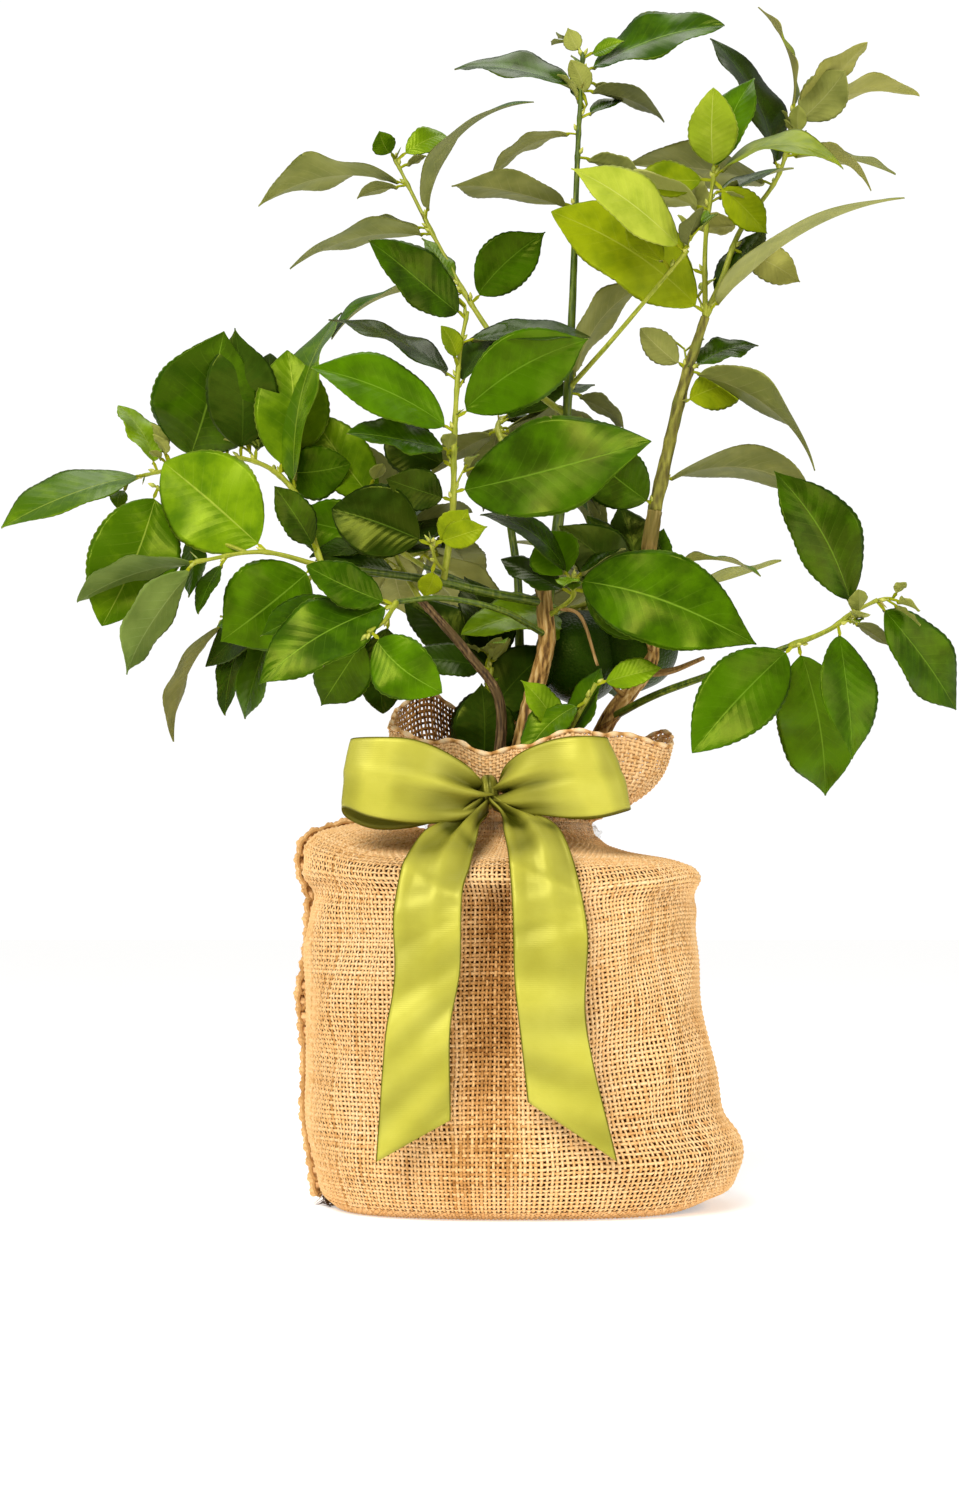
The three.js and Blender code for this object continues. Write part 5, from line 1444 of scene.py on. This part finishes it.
# Bud in a leaf's axil, with a thorn beside some. Gives back the axil's direction.
def addAxil(leaf, tangent, radius, draw):
    outward = (leaf["heading"] - tangent * leaf["heading"].dot(tangent)).normalized()
    sideways = outward.cross(tangent)
    axil = (outward * 0.5 + tangent).normalized()
    budAt = leaf["root"] + outward * radius * 0.7 + tangent * 1.6
    addBud(twigHeap, budAt, axil, 1.0 + 0.5 * draw(), 3.4 + 2 * draw(), twigSlots["bud"])
    if draw() < growth["thorn"]:
        thornAt = leaf["root"] + sideways * radius * 0.6 + tangent * 1.2
        thornOut = (sideways + tangent * 0.4 + outward * 0.6).normalized()
        addBud(twigHeap, thornAt, thornOut, 0.55, 5 + 4 * draw(), twigSlots["thorn"])
    return axil


# Finer growth: a short twig with two or three small leaves, inside the reach of the CAD's own mass
def addSpur(heap, root, tangent, axil, tone, reach, draw):
    size = between(draw, *growth["spurLength"])
    turn = between(draw, *growth["spurTurn"])
    heading = (Matrix.Rotation(turn, 3, tangent) @ axil).normalized()
    end = root + heading * size
    addTube(twigHeap, [root, (root + end) / 2 + upward * 0.6, end], lambda s: 0.8 - 0.3 * s, 6, 6,
            slot=twigSlots["young"])
    grown = 0
    for k in range(2 + int(draw() * 2)):
        own = seededRandom(int(draw() * 1e6))
        small = spiralLeaf(end - heading * (k * growth["spurLeafStep"]), heading, k, draw() * 6, own)
        small["length"] = between(draw, *growth["spurLeafLength"])
        small["arc"] = growth["spurLeafArc"]
        tip = small["root"] + small["heading"] * small["length"]
        spill = growth["spill"]
        inside = all(low - spill < at < high + spill for low, at, high in zip(reach[0], tip, reach[1]))
        if inside and isClear(small):
            addLeaf(heap, small, toneOrder.index(tone), draw)
            grown += 1
    return grown


# A lime on its stalk, with a nipple at its end and a dimple at its stalk
def addLime(top, diameter, aside):
    centre = top + Vector((aside, 0, -diameter / 2 - limeSize["drop"]))
    points = []
    for polar in np.linspace(0, math.pi, limeSize["rings"]):
        ends = 0.055 * ridge(polar, math.pi, 0.2) - 0.05 * ridge(polar, 0, 0.2)
        for k in range(limeSize["sides"]):
            turn = 2 * math.pi * k / limeSize["sides"]
            lumps = 1 + 0.008 * math.sin(5 * turn + diameter) * math.sin(polar) ** 2 + ends
            out = diameter / 2 * lumps
            points.append((centre.x + out * math.sin(polar) * math.cos(turn),
                           centre.y + out * math.sin(polar) * math.sin(turn),
                           centre.z + out * limeSize["tallness"] * math.cos(polar)))
    limeHeap.add(points, gridFaces(limeSize["rings"], limeSize["sides"], True)[:, ::-1].tolist())
    stem = centre + upward * (diameter / 2 * limeSize["tallness"] * 0.93)
    addTube(limeHeap, [top, (top + stem) / 2 + Vector((0.3, 0, 0)), stem], lambda s: limeSize["stalkRadius"],
            8, 8, slot=1)
    addBud(limeHeap, stem + upward * 1.6, -upward, 2.6, 1.8, 1)


def twigSkin(foot, bare):
    if foot > 3:
        return "olive"
    if bare:
        return "dead"
    return "green" if foot > 2.2 else "young"


leafCount = 0
for massName, mass in masses.items():
    draw = seededRandom(mass["seed"])
    detail = seededRandom(mass["seed"] + 1000)
    heap = Heap()
    points, faces = [], []
    reach = [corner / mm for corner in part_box(massName)]
    tones = mass["tones"]
    for i, shoot in enumerate(mass["shoots"]):
        route = shootRoutes[massName, i]
        foot, tip = shoot["radii"]
        length = routeLength(route)
        shown = shoot.get("leaves", [])
        count = shoot.get("spiral", len(shown))
        roots = []
        for n in range(count):
            lean = between(draw, *leafSize["leanRange"]) * (-1 if n % 2 else 1)
            first = leafSize["firstSpiralShare"]
            spread = shown[n][0] if shown else first + (1 - first) * n / (count - 1)
            spread = min(spread, leafSize["lastRoot"])
            root, tangent = routePoint(route, spread)
            seed = math.floor(draw() * 1e6)
            leaf = placeLeaf(root, tangent, n, shown[n] if shown else None, lean, mass.get("space"), seed)
            if leaf is None:
                continue
            coarseLeaf(leaf, points, faces)
            dealt = tones[0] if detail() < growth["firstTone"] else tones[int(detail() * len(tones))]
            tone = shoot.get("ownTones", {}).get(n, dealt)
            addLeaf(heap, leaf, toneOrder.index(tone), detail)
            leafCount += 1
            roots.append((spread, leaf))

        def twigRadius(share):
            swell = sum(0.32 * math.exp(-((share - spread) * length / 2.2) ** 2) for spread, _ in roots)
            return foot + (tip - foot) * share + min(swell, 0.5)

        skin = twigSlots[twigSkin(foot, count == 0)]
        addTube(twigHeap, route, twigRadius, 12, max(12, round(length / 2)), slot=skin,
                relief=barkRelief(0.4 if foot > 3 else 0.06, mass["seed"]))
        for spread, leaf in roots:
            tangent = routePoint(route, spread)[1]
            axil = addAxil(leaf, tangent, foot + (tip - foot) * spread, detail)
            if detail() < growth["spur"] and shown:
                tone = "youngest" if tones[0] == "youngest" else "light"
                leafCount += addSpur(heap, leaf["root"], tangent, axil, tone, reach, detail)
        for at, diameter, aside in shoot.get("limes", []):
            addLime(routePoint(route, at)[0], diameter, aside)
    pieceName = massName.replace("_mass", "_leaves")
    makePiece(pieceName, heap, leafMaterials, mass["finish"] + "_leaf", [massName])
    obstacles.append(obstacle(points, faces))
print("leaves grown", leafCount)

scales = Finish("axillary_bud_scales")
budSkin = scales.close({"Roughness": 0.5}, colour=scales.ramp(
    scales.grain(400, 3), [(0.35, "#8f9a2c"), (0.6, "#c3c050"), (0.8, "#dcd67c")]))
thorn = Finish("citrus_thorn")
thornSkin = thorn.close({"Roughness": 0.4}, colour=thorn.ramp(
    thorn.grain(300, 2), [(0.4, "#5d7a22"), (0.6, "#9a8a3c")]))
youngBark = barkMaterial("young_twig_skin", [(0.2, "#56640c"), (0.5, "#8f9620"), (0.85, "#c0bc4c")],
                         "#9a9c2a", 0.5)
oliveBark = barkMaterial("olive_fissured_bark",
                         [(0.25, "#2a280c"), (0.42, "#5c541c"), (0.6, "#85802c"), (0.8, "#aaa454")],
                         "#666e20", 0.75)
makePiece("leafy_twigs", twigHeap, [greenBark, youngBark, budSkin, thornSkin, oliveBark, deadBark],
          "green_bark", list(masses))

# Lime rind: waxy, with oil glands a little over 1 mm apart as small pits. Its dark green is partly the lime's
# own and partly painted shade from the crown above it.
peel = Finish("lime_rind")
rindTone = peel.ramp(peel.grain(40, 3), [(0.3, "#0f1f02"), (0.55, "#1c3404"), (0.8, "#2f4c08")])
rind = peel.close({"Roughness": 0.33, "Specular IOR Level": 0.22, "Specular Tint": "#c2cc5a"},
                  colour=rindTone, normal=peel.bump(peel.glands(750), 0.7, 0.0005, invert=True))
makePiece("hanging_limes", limeHeap, [rind, youngBark], "mature_leaf", ["fruiting_mass"])
print("twigs and limes made")

# Studio: a white sweep in broad daylight, with soft lights at the left, at the right and from above

bpy.ops.mesh.primitive_plane_add(size=1, location=(0, 0, 0))
floor = bpy.context.object
floor.name = "white_sweep"
floor.scale = (12, 12, 1)
floor.location = (0, 3.5, -0.0005)
bpy.ops.object.transform_apply(location=True, rotation=True, scale=True)
floor.data.materials.append(Finish("lit_white_sweep").close({
    "Base Color": "#f4f3f1", "Roughness": 0.9, "Specular IOR Level": 0.1, "Emission Strength": 0.42,
    "Emission Color": "#ffffff"}))

# White behind the plant for the eye, but a dimmer room for what the leaves mirror
world = bpy.data.worlds.new("soft_studio")
bpy.context.scene.world = world
world.use_nodes = True
background = world.node_tree.nodes["Background"]
background.inputs["Color"].default_value = linear("#ffffff")
cameraRay = addNode(world.node_tree, "LightPath", {}, "Is Camera Ray")
strength = addNode(world.node_tree, "MapRange", {"To Min": 0.27, "To Max": 1.05, "Value": cameraRay})
world.node_tree.links.new(strength, background.inputs["Strength"])


def addLight(name, kind, power, place, target, settings):
    light = bpy.data.lights.new(name, kind)
    light.energy = power
    for key, value in settings.items():
        setattr(light, key, value)
    lamp = bpy.data.objects.new(name, light)
    lamp.location = place
    lamp.rotation_euler = (Vector(target) - Vector(place)).to_track_quat("-Z", "Y").to_euler()
    bpy.context.collection.objects.link(lamp)


addLight("broad_daylight", "SUN", 1.95, (0, 0, 0), (0.26, 0.9, -0.72), {"angle": math.radians(26)})
for name, power, place, targetHeight, wide, tall in (
        ("key_softbox", 16, (-1.0, -1.3, 1.5), 0.35, 0.9, 0.9),
        ("fill_softbox", 13, (1.5, -1.2, 0.7), 0.25, 1.2, 1.2),
        ("top_softbox", 9, (0.1, 0.5, 1.9), 0.4, 1.4, 1.0)):
    addLight(name, "AREA", power, place, (0, 0, targetHeight),
             {"shape": "RECTANGLE", "size": wide, "size_y": tall})

camera = bpy.data.cameras.new("front_camera")
camera.lens = 66.24
camera.sensor_width = 36
view = bpy.data.objects.new("front_camera", camera)
view.location = (-0.0166, -1.5, 0.165)
view.rotation_euler = (math.radians(93.07), 0, 0)
bpy.context.collection.objects.link(view)
bpy.context.scene.camera = view
bpy.context.scene.view_settings.view_transform = "Standard"
